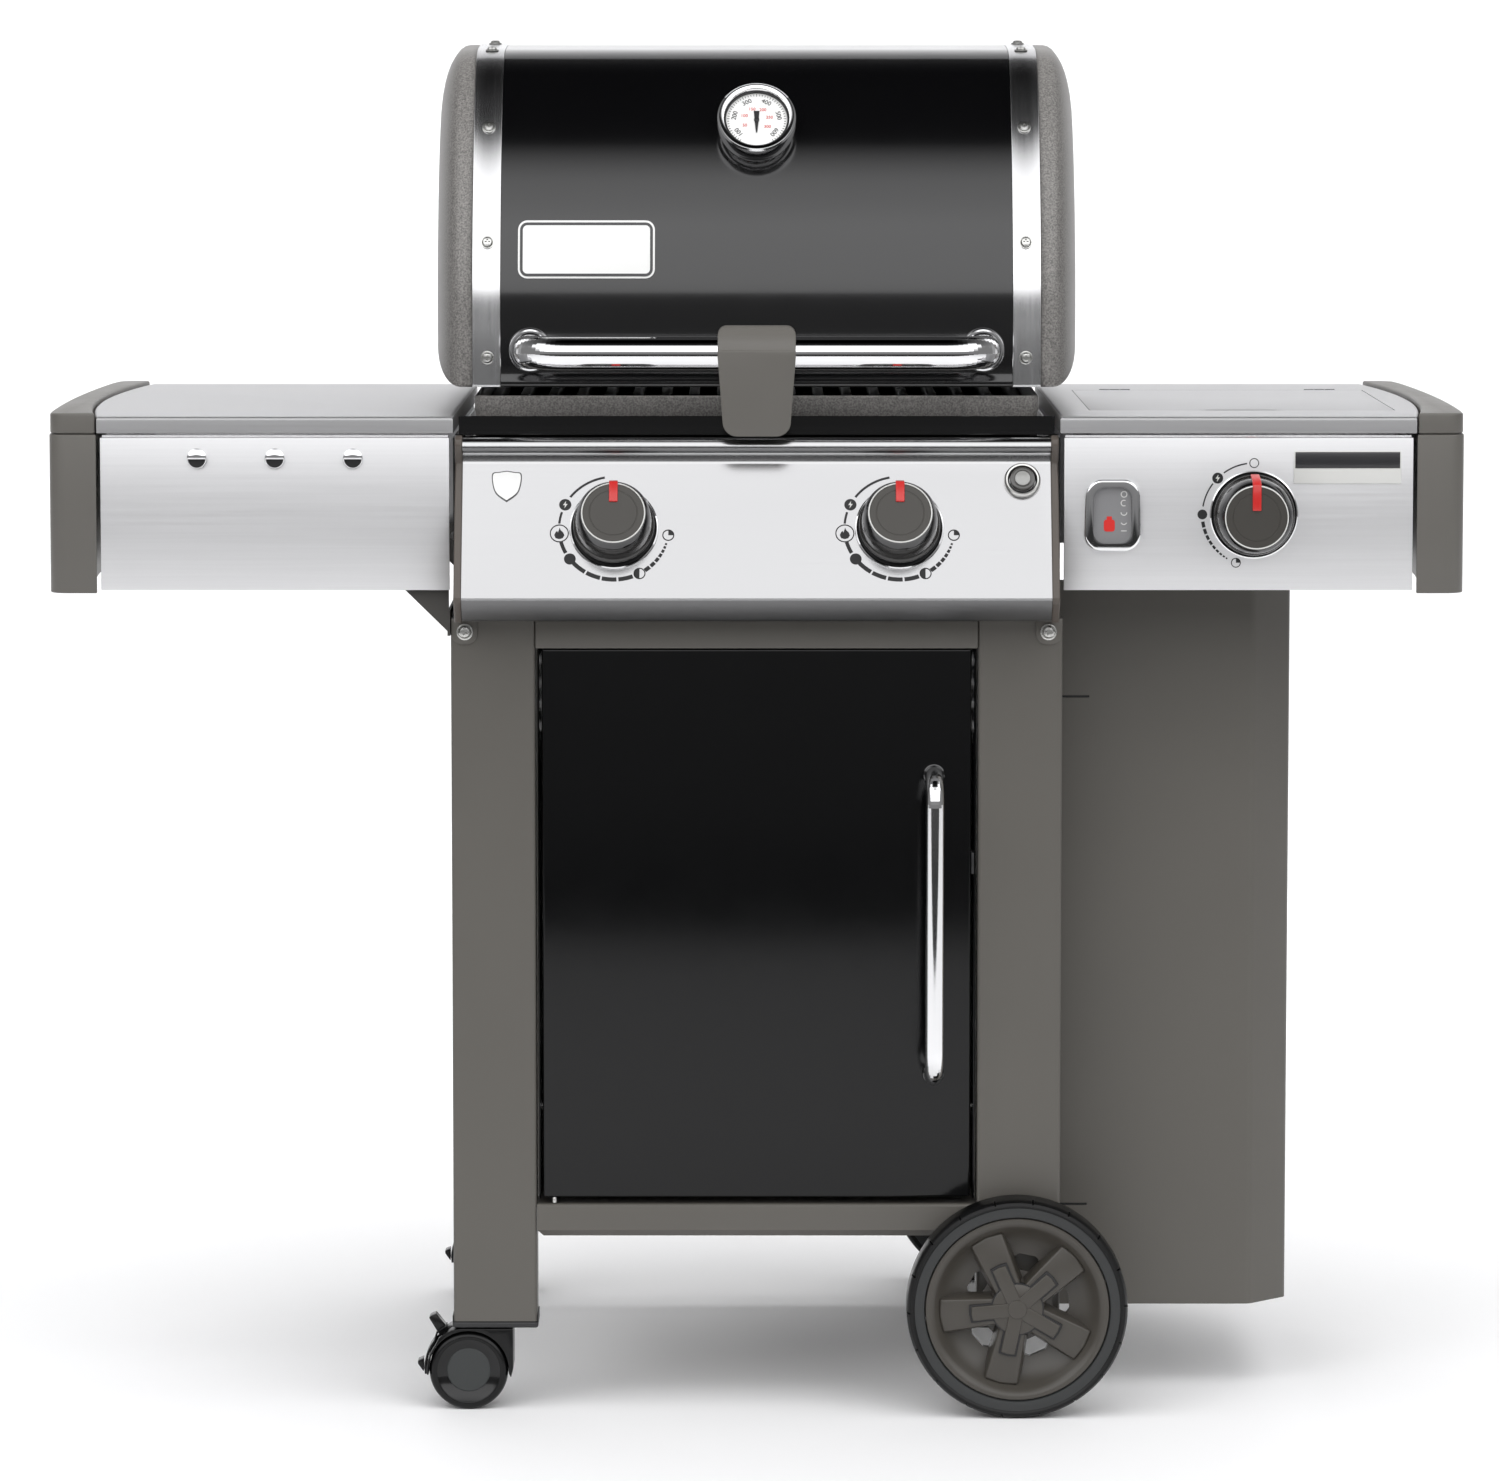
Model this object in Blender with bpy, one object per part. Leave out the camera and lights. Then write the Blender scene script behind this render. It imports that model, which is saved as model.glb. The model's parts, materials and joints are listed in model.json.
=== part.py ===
"""Gas barbecue grill on a cart, as separate named pieces.

Metres, +Z up, front at -Y. The origin is the middle of the footprint on the ground.
Lids, door, folding shelf, knobs, button, casters and wheels each turn or slide on a real axis.
"""
import math

import bmesh
import bpy
from mathutils import Matrix, Vector

# ---------------------------------------------------------------- driving dimensions
FRONT_Y = -0.3172            # front plane of the side shelves
GAP = 0.0003                 # clearance kept between touching pieces
SHEET = 0.002                # sheet metal thickness

SHELF_TOP = 0.9226           # top surface of both side shelves
SHELF_DEPTH = 0.570
SHELF_INNER = 0.277          # shelf edge next to the firebox
SHELF_OUTER = (0.6020, 0.6215, 0.6010)     # shelf edge under the end cap: front, middle, back
CAP_OUTER = (0.6466, 0.6480, 0.6340)       # end cap's outside: front, middle, back
BAND_BOTTOM = 0.9075         # lower edge of the shelf's own rim
APRON_BOTTOM = 0.7640
APRON_TOP = 0.9033
APRON_INNER = 0.2805
APRON_OUTER = 0.5990

LEG_INNER, LEG_OUTER = 0.2034, 0.2805
LEG_DEPTH = 0.050
LEG_BOTTOM, LEG_TOP = 0.077, 0.7357
FRONT_LEG_Y = FRONT_Y + 0.015
REAR_LEG_Y = FRONT_Y + 0.588

BOX_HALF = 0.260             # firebox half width
BOX_FRONT, BOX_BACK = FRONT_Y + 0.058, FRONT_Y + 0.604
BOX_TOP = 0.9385

LID_SKIN_HALF = 0.2353
LID_TRIM_OUTER = 0.2617
LID_BOTTOM = 0.9465

PANEL_HALF = 0.2684
PANEL_TILT = math.radians(25)
KNOB_X, KNOB_Z = 0.130, 0.822
SIDE_KNOB = (0.4538, 0.8333)
BUTTON = (0.2425, 0.8630)
STEM_R, STEM_HOLE_R = 0.0035, 0.0042

WHEEL_R, WHEEL_X = 0.1019, 0.240
WHEEL_WIDTH = 0.040
FRONT_WHEEL_Y = FRONT_Y - 0.028
REAR_WHEEL_Y = FRONT_Y + 0.658
AXLE_R = 0.006
CASTER_R = 0.0365
CASTER_TRAIL = 0.025
CASTER_X = -(LEG_INNER + LEG_OUTER) / 2

DOOR_HALF = 0.1973
DOOR_BOTTOM, DOOR_TOP = 0.199, 0.7087

FINISHES = {
    "taupe": ((0.17, 0.155, 0.14), 0.45, 0.2),
    "speckled_taupe": ((0.12, 0.11, 0.10), 0.55, 0.3),
    "black_enamel": ((0.012, 0.012, 0.014), 0.12, 0.0),
    "satin_black": ((0.02, 0.02, 0.022), 0.4, 0.0),
    "stainless": ((0.62, 0.62, 0.63), 0.28, 1.0),
    "polished": ((0.75, 0.75, 0.76), 0.12, 1.0),
    "chrome": ((0.85, 0.85, 0.86), 0.06, 1.0),
    "cast_iron": ((0.03, 0.03, 0.032), 0.7, 0.3),
    "galvanised": ((0.45, 0.46, 0.47), 0.4, 0.9),
    "brass": ((0.55, 0.42, 0.18), 0.35, 1.0),
    "black_plastic": ((0.02, 0.02, 0.02), 0.5, 0.0),
    "tread": ((0.025, 0.025, 0.027), 0.8, 0.0),
}


# ---------------------------------------------------------------- making pieces
def material_for(node, finish):
    colour, roughness, metallic = FINISHES[finish]
    material = bpy.data.materials.new(node)
    material.use_nodes = True
    shader = material.node_tree.nodes["Principled BSDF"]
    shader.inputs["Base Color"].default_value = (*colour, 1.0)
    shader.inputs["Roughness"].default_value = roughness
    shader.inputs["Metallic"].default_value = metallic
    return material


def piece(node, bm, finish=None):
    """Turn a bmesh into an object; with no finish it is a hidden cutter or a part of a union."""
    bmesh.ops.remove_doubles(bm, verts=bm.verts, dist=1e-6)
    bmesh.ops.recalc_face_normals(bm, faces=bm.faces)
    mesh = bpy.data.meshes.new(node)
    bm.to_mesh(mesh)
    bm.free()
    obj = bpy.data.objects.new(node, mesh)
    bpy.context.collection.objects.link(obj)
    if finish:
        mesh.materials.append(material_for(node, finish))
    else:
        obj.hide_render = True
        obj.display_type = "WIRE"
    return obj


def block(low, high, bevel=0.0):
    """A box between two corners, with its edges rounded off if asked."""
    bm = bmesh.new()
    bmesh.ops.create_cube(bm, size=1.0)
    size = Vector(high) - Vector(low)
    bmesh.ops.scale(bm, vec=size, verts=bm.verts)
    bmesh.ops.translate(bm, vec=(Vector(high) + Vector(low)) / 2, verts=bm.verts)
    if bevel:
        bmesh.ops.bevel(bm, geom=bm.edges[:], offset=bevel, segments=1, profile=0.5,
                        affect="EDGES", material=-1)
    return bm


def prism(outline, axis, low, high):
    """Extrude a closed outline along X ("x": points are y, z), Y (x, z) or Z (x, y)."""
    place = {"x": lambda a, b, t: (t, a, b),
             "y": lambda a, b, t: (a, t, b),
             "z": lambda a, b, t: (a, b, t)}[axis]
    bm = bmesh.new()
    face = bm.faces.new([bm.verts.new(place(a, b, low)) for a, b in outline])
    made = bmesh.ops.extrude_face_region(bm, geom=[face])["geom"]
    far = [v for v in made if isinstance(v, bmesh.types.BMVert)]
    bmesh.ops.translate(bm, vec=Vector(place(0, 0, high)) - Vector(place(0, 0, low)), verts=far)
    return bm


def turned(profile, centre, direction, steps=32):
    """Spin a closed (radius, distance along the axis) profile about an axis."""
    bm = bmesh.new()
    verts = [bm.verts.new((r, 0, s)) for r, s in profile]
    edges = [bm.edges.new((a, b)) for a, b in zip(verts, verts[1:])]
    if profile[0][0] > 0 and profile[-1][0] > 0:
        edges.append(bm.edges.new((verts[-1], verts[0])))
    bmesh.ops.spin(bm, geom=verts + edges, cent=(0, 0, 0), axis=(0, 0, 1),
                   angle=math.tau, steps=steps, use_merge=True)
    bmesh.ops.remove_doubles(bm, verts=bm.verts, dist=1e-6)
    turn = Vector((0, 0, 1)).rotation_difference(Vector(direction).normalized())
    bmesh.ops.transform(bm, matrix=Matrix.Translation(centre) @ turn.to_matrix().to_4x4(),
                        verts=bm.verts)
    return bm


def rod(centre, direction, radius, length, steps=16):
    """A plain cylinder that starts at centre and runs along direction."""
    return turned([(0, 0), (radius, 0), (radius, length), (0, length)], centre, direction, steps)


def cut(target, *tools):
    for tool in tools:
        hole = target.modifiers.new("cut", "BOOLEAN")
        hole.operation = "DIFFERENCE"
        hole.object = piece(target.name + "_cutter", tool)


def add(target, *tools):
    for tool in tools:
        joined = target.modifiers.new("join", "BOOLEAN")
        joined.operation = "UNION"
        joined.object = piece(target.name + "_lug", tool)


def smooth_line(points, steps):
    """A Catmull-Rom curve through the points, with its ends kept."""
    padded = [points[0]] + list(points) + [points[-1]]
    line = []
    for p0, p1, p2, p3 in zip(padded, padded[1:], padded[2:], padded[3:]):
        for i in range(steps):
            t = i / steps
            line.append(tuple(
                0.5 * (2 * b + (c - a) * t + (2 * a - 5 * b + 4 * c - d) * t * t
                       + (3 * b - a - 3 * c + d) * t ** 3)
                for a, b, c, d in zip(p0, p1, p2, p3)))
    return line + [tuple(points[-1])]


def offset_line(line, distance):
    """Move an open 2-D line sideways, to its right, by a distance."""
    moved = []
    for i, point in enumerate(line):
        before, after = line[max(i - 1, 0)], line[min(i + 1, len(line) - 1)]
        along = Vector((after[0] - before[0], after[1] - before[1])).normalized()
        moved.append((point[0] + along.y * distance, point[1] - along.x * distance))
    return moved


def pipe(node, route, radius, finish, sides=3):
    """A round tube along a route: a curve with a bevel and closed ends."""
    curve = bpy.data.curves.new(node, "CURVE")
    curve.dimensions = "3D"
    curve.bevel_depth = radius
    curve.bevel_resolution = sides
    curve.use_fill_caps = True
    spline = curve.splines.new("POLY")
    spline.points.add(len(route) - 1)
    for point, place in zip(spline.points, route):
        point.co = (*place, 1.0)
    obj = bpy.data.objects.new(node, curve)
    bpy.context.collection.objects.link(obj)
    curve.materials.append(material_for(node, finish))
    return obj


def rounded(low_x, low_z, high_x, high_z, radius, steps=4):
    """Outline of a rectangle with round corners."""
    centres = [(high_x - radius, high_z - radius, 0), (low_x + radius, high_z - radius, 90),
               (low_x + radius, low_z + radius, 180), (high_x - radius, low_z + radius, 270)]
    return [(cx + radius * math.cos(math.radians(start + 90 * i / steps)),
             cz + radius * math.sin(math.radians(start + 90 * i / steps)))
            for cx, cz, start in centres for i in range(steps + 1)]


def bowed(front, middle, back, steps=10):
    """Plan line of an edge that bows outwards between the shelf's front and back."""
    line = []
    for i in range(steps + 1):
        t = i / steps
        x = (1 - t) * (1 - 2 * t) * front + 4 * t * (1 - t) * middle + t * (2 * t - 1) * back
        line.append((x, FRONT_Y + t * SHELF_DEPTH))
    return line


def mirrored(outline, side):
    return [(side * a, b) for a, b in outline]


for old in list(bpy.data.objects):
    bpy.data.objects.remove(old, do_unlink=True)

OUT_OF_PANEL = Vector((0, -math.cos(PANEL_TILT), math.sin(PANEL_TILT)))
OUT_OF_APRON = Vector((0, -1, 0))


def panel_face_y(z):
    """Y of the sloping control face at a height."""
    return FRONT_Y + 0.012 - (0.880 - z) * math.tan(PANEL_TILT)


# ---------------------------------------------------------------- cart
def build_legs():
    places = {"front_left_leg": (-1, FRONT_LEG_Y), "front_right_leg": (1, FRONT_LEG_Y),
              "rear_left_leg": (-1, REAR_LEG_Y), "rear_right_leg": (1, REAR_LEG_Y)}
    for node, (side, y) in places.items():
        x0, x1 = sorted((side * LEG_INNER, side * LEG_OUTER))
        leg = piece(node, block((x0, y, LEG_BOTTOM), (x1, y + LEG_DEPTH, LEG_TOP)), "taupe")
        cut(leg, block((x0 + SHEET, y + SHEET, 0.05), (x1 - SHEET, y + LEG_DEPTH - SHEET, 0.78)))
        if side > 0:
            cut(leg, rod((WHEEL_X, y - 0.01, WHEEL_R), (0, 1, 0), AXLE_R + GAP, 0.07, 12))


def build_cart():
    piece("front_rail", block((-LEG_INNER + GAP, FRONT_LEG_Y, 0.709),
                              (LEG_INNER - GAP, FRONT_LEG_Y + 0.022, 0.735), 0.001), "taupe")
    front, back = FRONT_LEG_Y, REAR_LEG_Y + 0.022
    tray = [(front, 0.193), (front, 0.1686), (front + 0.008, 0.162), (front + 0.010, 0.162),
            (front + SHEET, 0.170), (front + SHEET, 0.191), (back - SHEET, 0.191),
            (back - SHEET, 0.1686), (back, 0.1686), (back, 0.193)]
    piece("bottom_shelf", prism(tray, "x", -LEG_INNER + GAP, LEG_INNER - GAP), "taupe")
    for node, side in (("left_side_panel", -1), ("right_side_panel", 1)):
        x0, x1 = sorted((side * 0.2005, side * 0.2020))
        piece(node, block((x0, FRONT_Y + 0.045, 0.1935), (x1, FRONT_Y + 0.598, 0.7200)),
              "satin_black")
    piece("back_panel", block((-0.2000, FRONT_Y + 0.5995, 0.1935), (0.2000, FRONT_Y + 0.6010, 0.720)),
          "satin_black")
    shroud = [(0.2750, 0.120), (0.4635, 0.120), (0.5000, 0.1565), (0.5000, 0.440)]
    inner = [(0.4985, 0.440), (0.4985, 0.1571), (0.4629, 0.1215), (0.2750, 0.1215)]
    outline = [(x, FRONT_Y + y) for x, y in shroud + inner]
    piece("tank_shroud", prism(outline, "z", 0.080, APRON_BOTTOM - GAP), "taupe")


def build_door():
    door = piece("door", block((-DOOR_HALF, FRONT_Y + 0.018, DOOR_BOTTOM),
                               (DOOR_HALF, FRONT_Y + 0.033, DOOR_TOP), 0.002), "satin_black")
    cut(door, block((-DOOR_HALF + 0.004, FRONT_Y + 0.0215, DOOR_BOTTOM + 0.004),
                    (DOOR_HALF - 0.004, FRONT_Y + 0.040, DOOR_TOP - 0.004)))
    x, low, high = 0.163, 0.314, 0.593
    plate, stand_off, bend = FRONT_Y + 0.018 - GAP, FRONT_Y - 0.022, 0.030
    arc = [(stand_off + bend - bend * math.sin(a), bend - bend * math.cos(a))
           for a in [math.pi / 2 * i / 5 for i in range(6)]]
    end = [(x, plate, 0.0)] + [(x, y, dz) for y, dz in arc]
    route = [(px, py, low + dz) for px, py, dz in end]
    route += [(px, py, high - dz) for px, py, dz in reversed(end)]
    pipe("door_handle", route, 0.0085, "chrome", 2)
    return door


# ---------------------------------------------------------------- firebox and what it holds
def build_firebox():
    low, high = (-BOX_HALF, BOX_FRONT, LEG_TOP + GAP), (BOX_HALF, BOX_BACK, BOX_TOP)
    box = piece("firebox", block(low, high, 0.003), "speckled_taupe")
    wall, floor = 0.004, 0.775
    cut(box,
        block((low[0] + wall, low[1] + wall, floor), (high[0] - wall, high[1] - wall, 1.0)),
        block((low[0] + wall, low[1] + wall, 0.70), (high[0] - wall, high[1] - wall, floor - wall)),
        block((-0.06, FRONT_Y + 0.27, 0.70), (0.06, FRONT_Y + 0.39, 0.85)))
    for side in (-1, 1):
        cut(box, rod((side * KNOB_X, BOX_FRONT - 0.01, 0.815), (0, 1, 0), 0.0125, 0.03))
    tray_low = (-0.195, FRONT_Y + 0.08, 0.7210)
    tray_high = (0.195, FRONT_Y + 0.58, 0.7350)
    tray = piece("grease_tray", block(tray_low, tray_high), "galvanised")
    cut(tray, block((tray_low[0] + SHEET, tray_low[1] + SHEET, 0.7225),
                    (tray_high[0] - SHEET, tray_high[1] - SHEET, 0.80)))
    add(tray, block((-0.203, FRONT_Y + 0.08, 0.7205), (0.203, FRONT_Y + 0.10, 0.7225)),
        block((-0.203, FRONT_Y + 0.56, 0.7205), (0.203, FRONT_Y + 0.58, 0.7225)))


def build_burners():
    for node, side in (("left", -1), ("right", 1)):
        x = side * KNOB_X
        piece(node + "_burner", rod((x, FRONT_Y + 0.046, 0.815), (0, 1, 0), 0.0115, 0.50), "polished")
        tent = [(-0.05, 0.842), (0, 0.870), (0.05, 0.842), (0.05, 0.8400), (0, 0.868), (-0.05, 0.8400)]
        piece(node + "_heat_tent", prism([(x + a, b) for a, b in tent], "y",
                                         BOX_FRONT + 0.005, BOX_BACK - 0.005), "polished")
    low_y, high_y = BOX_FRONT + 0.006, BOX_BACK - 0.006
    bars = 9
    for node, x0, x1 in (("left_grate", -0.2545, -0.0010), ("right_grate", 0.0010, 0.2545)):
        grate = piece(node, block((x0, low_y, 0.913), (x1, high_y, 0.925)), "cast_iron")
        pitch = (x1 - x0 - 0.010) / bars
        for i in range(bars):
            left = x0 + 0.010 + i * pitch
            cut(grate, block((left, low_y + 0.010, 0.90), (left + pitch - 0.010, high_y - 0.010, 0.94)))


# ---------------------------------------------------------------- control panel
def build_panel():
    t = SHEET
    line = [(0.056, 0.9035), (0.006, 0.9035), (0.001, 0.9010), (0.000, 0.8965), (0.012, 0.880)]
    foot = panel_face_y(0.760) - FRONT_Y
    line += [(foot, 0.760), (foot + 0.0015, 0.7565), (foot + 0.020, 0.7370), (0.040, 0.7370)]
    outer = [(FRONT_Y + y, z) for y, z in line]
    inner = offset_line(outer, -t)
    panel = piece("control_panel", prism(outer + inner[::-1], "x", -PANEL_HALF, PANEL_HALF),
                  "stainless")
    for x in (-KNOB_X, KNOB_X):
        centre = Vector((x, panel_face_y(KNOB_Z), KNOB_Z))
        cut(panel, rod(centre - OUT_OF_PANEL * 0.02, OUT_OF_PANEL, 0.006, 0.04))
    centre = Vector((BUTTON[0], panel_face_y(BUTTON[1]), BUTTON[1]))
    cut(panel, rod(centre - OUT_OF_PANEL * 0.02, OUT_OF_PANEL, 0.0072, 0.04))
    piece("igniter_button", turned([(0, -0.010), (0.0065, -0.010), (0.0065, 0.0035),
                                    (0.0115, 0.0035), (0.0115, 0.0080), (0.0095, 0.0095),
                                    (0, 0.0095)], centre, OUT_OF_PANEL, 16), "black_plastic")


def build_knob(node, centre, outwards):
    """A dished dial on a stem: the stem slides in its valve and the dial turns with it."""
    centre = Vector(centre)
    skirt = [(STEM_HOLE_R, 0.0065), (0.0360, 0.0065), (0.0360, 0.0110), (0.0340, 0.0200),
             (0.0330, 0.0300), (0.0290, 0.0400), (0.0285, 0.0395), (STEM_HOLE_R, 0.0395)]
    knob = piece(node + "_knob", turned(skirt, centre, outwards, 20), "taupe")
    stem = turned([(0, -0.028), (STEM_R, -0.028), (STEM_R, 0.0370), (0, 0.0370)],
                  centre, outwards, 10)
    piece(node + "_valve_stem", stem, "galvanised")
    return knob


def build_valves():
    manifold = piece("gas_manifold", block((-0.150, FRONT_Y + 0.020, 0.7960),
                                           (0.150, FRONT_Y + 0.036, 0.8060), 0.001), "galvanised")
    for x in (-KNOB_X, KNOB_X):
        centre = Vector((x, panel_face_y(KNOB_Z), KNOB_Z))
        body = turned([(0.0046, -0.0100), (0.0046, -0.0360), (0, -0.0360), (0, -0.0460),
                       (0.0110, -0.0460), (0.0110, -0.0100)], centre, OUT_OF_PANEL, 12)
        add(manifold, body)
    x, z = SIDE_KNOB
    valve = turned([(0.0046, 0.010), (0.0110, 0.010), (0.0110, 0.050), (0, 0.050), (0, 0.036),
                    (0.0046, 0.036)], (x, FRONT_Y, z), (0, 1, 0), 12)
    side_valve = piece("side_burner_valve", valve, "galvanised")
    add(side_valve, block((x - 0.006, FRONT_Y + 0.045, z - 0.006), (x + 0.006, FRONT_Y + 0.284, z + 0.006)),
        block((x - 0.006, FRONT_Y + 0.272, z - 0.006), (x + 0.006, FRONT_Y + 0.284, 0.8848)))


# ---------------------------------------------------------------- lid
def lid_line():
    """Outside of the lid in side view, from its front lower edge over the top to its back edge."""
    points = [(0.0600, LID_BOTTOM), (0.0600, 1.0000), (0.0655, 1.0500), (0.0870, 1.1170),
              (0.1270, 1.1900), (0.1840, 1.2450), (0.2600, 1.2568), (0.3500, 1.2574),
              (0.4500, 1.2450), (0.5300, 1.1950), (0.5760, 1.1050), (0.5970, 1.0200),
              (0.6000, LID_BOTTOM)]
    return [(FRONT_Y + y, z) for y, z in smooth_line(points, 2)]


def build_lid():
    line = lid_line()
    inner = offset_line(line, 0.0025)
    shell = line + inner[::-1]
    piece("lid_shell", prism(shell, "x", -LID_SKIN_HALF, LID_SKIN_HALF), "black_enamel")
    trim = offset_line(line, -0.0010) + offset_line(line, 0.0030)[::-1]
    for node, side in (("left", -1), ("right", 1)):
        x0, x1 = sorted((side * (LID_SKIN_HALF + GAP), side * (LID_TRIM_OUTER - GAP)))
        piece(node + "_lid_trim", prism(trim, "x", x0, x1), "polished")
        build_lid_end(node + "_lid_end", side, line)


def build_lid_end(node, side, line):
    """A dished end casting: rings of the lid's outline that shrink as they bulge outwards."""
    middle = Vector((FRONT_Y + 0.33, 1.06))
    rings = ((LID_TRIM_OUTER, 1.000), (0.2720, 1.000), (0.2850, 0.960), (0.2930, 0.870),
             (0.2970, 0.700))
    bm = bmesh.new()
    loops = []
    for x, scale in rings:
        loop = []
        for y, z in line:
            foot = max(LID_BOTTOM - 0.004, middle.y + (z - middle.y) * scale)
            loop.append(bm.verts.new((side * x, middle.x + (y - middle.x) * scale, foot)))
        loops.append([bm.edges.new((a, b)) for a, b in zip(loop, loop[1:] + loop[:1])])
    for near, far in zip(loops, loops[1:]):
        bmesh.ops.bridge_loops(bm, edges=near + far)
    bmesh.ops.contextual_create(bm, geom=loops[-1])
    bmesh.ops.recalc_face_normals(bm, faces=bm.faces)
    middle_face = max(bm.faces, key=lambda f: len(f.verts))
    if middle_face.normal.x * side < 0:
        bmesh.ops.reverse_faces(bm, faces=bm.faces)
    mesh = bpy.data.meshes.new(node)
    bm.to_mesh(mesh)
    bm.free()
    end = bpy.data.objects.new(node, mesh)
    bpy.context.collection.objects.link(end)
    mesh.materials.append(material_for(node, "speckled_taupe"))
    wall = end.modifiers.new("wall", "SOLIDIFY")
    wall.thickness = 0.004
    wall.offset = -1


def build_lid_fittings():
    axis_y, axis_z, radius, bend, half = FRONT_Y - 0.005, 0.9806, 0.01535, 0.034, 0.208
    arc = [(bend - bend * math.sin(a), bend - bend * math.cos(a))
           for a in [math.pi / 2 * i / 6 for i in range(7)]]
    end = [(-half, FRONT_Y + 0.060 - 3 * GAP)] + [(-half + dx, axis_y + dy) for dy, dx in arc]
    route = [(x, y, axis_z) for x, y in end] + [(-x, y, axis_z) for x, y in reversed(end)]
    pipe("lid_handle", route, radius, "chrome", 3)

    grip = [(-0.0355, 1.000), (-0.0300, 1.0053), (0.0300, 1.0053), (0.0355, 1.000),
            (0.0355, 0.9700), (0.0310, 0.9180), (0.0220, 0.9055), (-0.0220, 0.9055),
            (-0.0310, 0.9180), (-0.0355, 0.9700)]
    handle_grip = piece("lid_grip", prism(grip, "y", axis_y - 0.0215, axis_y + 0.0190), "taupe")
    cut(handle_grip, rod((-0.05, axis_y, axis_z), (1, 0, 0), radius + GAP, 0.10, 32),
        block((-0.05, axis_y - 0.010, 0.88), (0.05, axis_y + 0.05, axis_z - radius - 0.004)))

    tilt = math.radians(31)
    out = Vector((0, -math.cos(tilt), math.sin(tilt)))
    base = Vector((0, FRONT_Y + 0.1193, 1.1785))
    gauge = [(0, 0.0012), (0.020, 0.0012), (0.020, 0.012), (0.0345, 0.014), (0.0368, 0.018),
             (0.0368, 0.0270), (0.0340, 0.0300), (0.0285, 0.0300), (0.0278, 0.0275), (0, 0.0275)]
    piece("thermometer", turned(gauge, base, out, 24), "chrome")


# ---------------------------------------------------------------- side shelves
def shelf_outline(side, inset=0.0):
    edge = [(x - inset, y) for x, y in bowed(*SHELF_OUTER)]
    edge[0] = (edge[0][0], FRONT_Y + inset)
    edge[-1] = (edge[-1][0], FRONT_Y + SHELF_DEPTH - inset)
    inner = [(SHELF_INNER + inset, FRONT_Y + SHELF_DEPTH - inset), (SHELF_INNER + inset, FRONT_Y + inset)]
    return mirrored(edge + inner, side)


def cap_outline(side, inset=0.0):
    """End cap in plan: bowed inner edge, gently bowed outside, round corners."""
    radius = 0.017
    inner = [(x + 0.0006, y) for x, y in bowed(*SHELF_OUTER)]
    outer = bowed(*CAP_OUTER)[1:-1]
    front, back = FRONT_Y, FRONT_Y + SHELF_DEPTH
    corner = []
    for x, y, start in ((CAP_OUTER[0] - radius, front + radius, -90), (CAP_OUTER[2] - radius, back - radius, 0)):
        corner.append([(x + radius * math.cos(math.radians(start + 18 * i)),
                        y + radius * math.sin(math.radians(start + 18 * i))) for i in range(6)])
    return mirrored(inner[::-1] + corner[0] + outer + corner[1], side)


def build_shelf(node, side):
    top = piece(node + "_shelf_top", prism(shelf_outline(side), "z", BAND_BOTTOM, SHELF_TOP), "stainless")
    cut(top, prism(shelf_outline(side, SHEET), "z", BAND_BOTTOM - 0.01, SHELF_TOP - SHEET))
    cap = piece(node + "_shelf_cap", prism(cap_outline(side), "z", 0.761, 0.9256), "taupe")
    front, back = FRONT_Y, FRONT_Y + SHELF_DEPTH
    outer = [(APRON_INNER, front), (APRON_OUTER, front), (APRON_OUTER, back), (APRON_INNER, back)]
    inner = [(APRON_INNER, back - SHEET), (APRON_OUTER - SHEET, back - SHEET),
             (APRON_OUTER - SHEET, front + SHEET), (APRON_INNER, front + SHEET)]
    apron = piece(node + "_apron", prism(mirrored(outer + inner, side), "z", APRON_BOTTOM, APRON_TOP),
                  "stainless")
    return top, cap, apron


def build_left_shelf():
    top, cap, apron = build_shelf("left", -1)
    pivot_x, pivot_z = -0.300, 0.772
    inside, outside = FRONT_Y + SHEET, FRONT_Y + SHELF_DEPTH - SHEET
    add(apron, rod((pivot_x, inside - 0.001, pivot_z), (0, 1, 0), 0.004, 0.020),
        rod((pivot_x, outside - 0.019, pivot_z), (0, 1, 0), 0.004, 0.020))
    x = -LEG_OUTER - GAP
    plate = piece("shelf_bracket", block((x - 0.0025, FRONT_Y + 0.0105, 0.7210),
                                         (x, FRONT_Y + 0.5595, 0.7440)), "black_plastic")
    gusset = [(x - 0.001, 0.7240), (x - 0.001, 0.785), (-0.3100, 0.785), (-0.3225, 0.773),
              (-0.3225, 0.764)]
    for y in (FRONT_Y + 0.0105, FRONT_Y + 0.5555):
        ear = prism(gusset, "y", y, y + 0.004)
        add(plate, ear)
        cut(plate, rod((pivot_x, y - 0.004, pivot_z), (0, 1, 0), 0.0045, 0.012))


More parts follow.
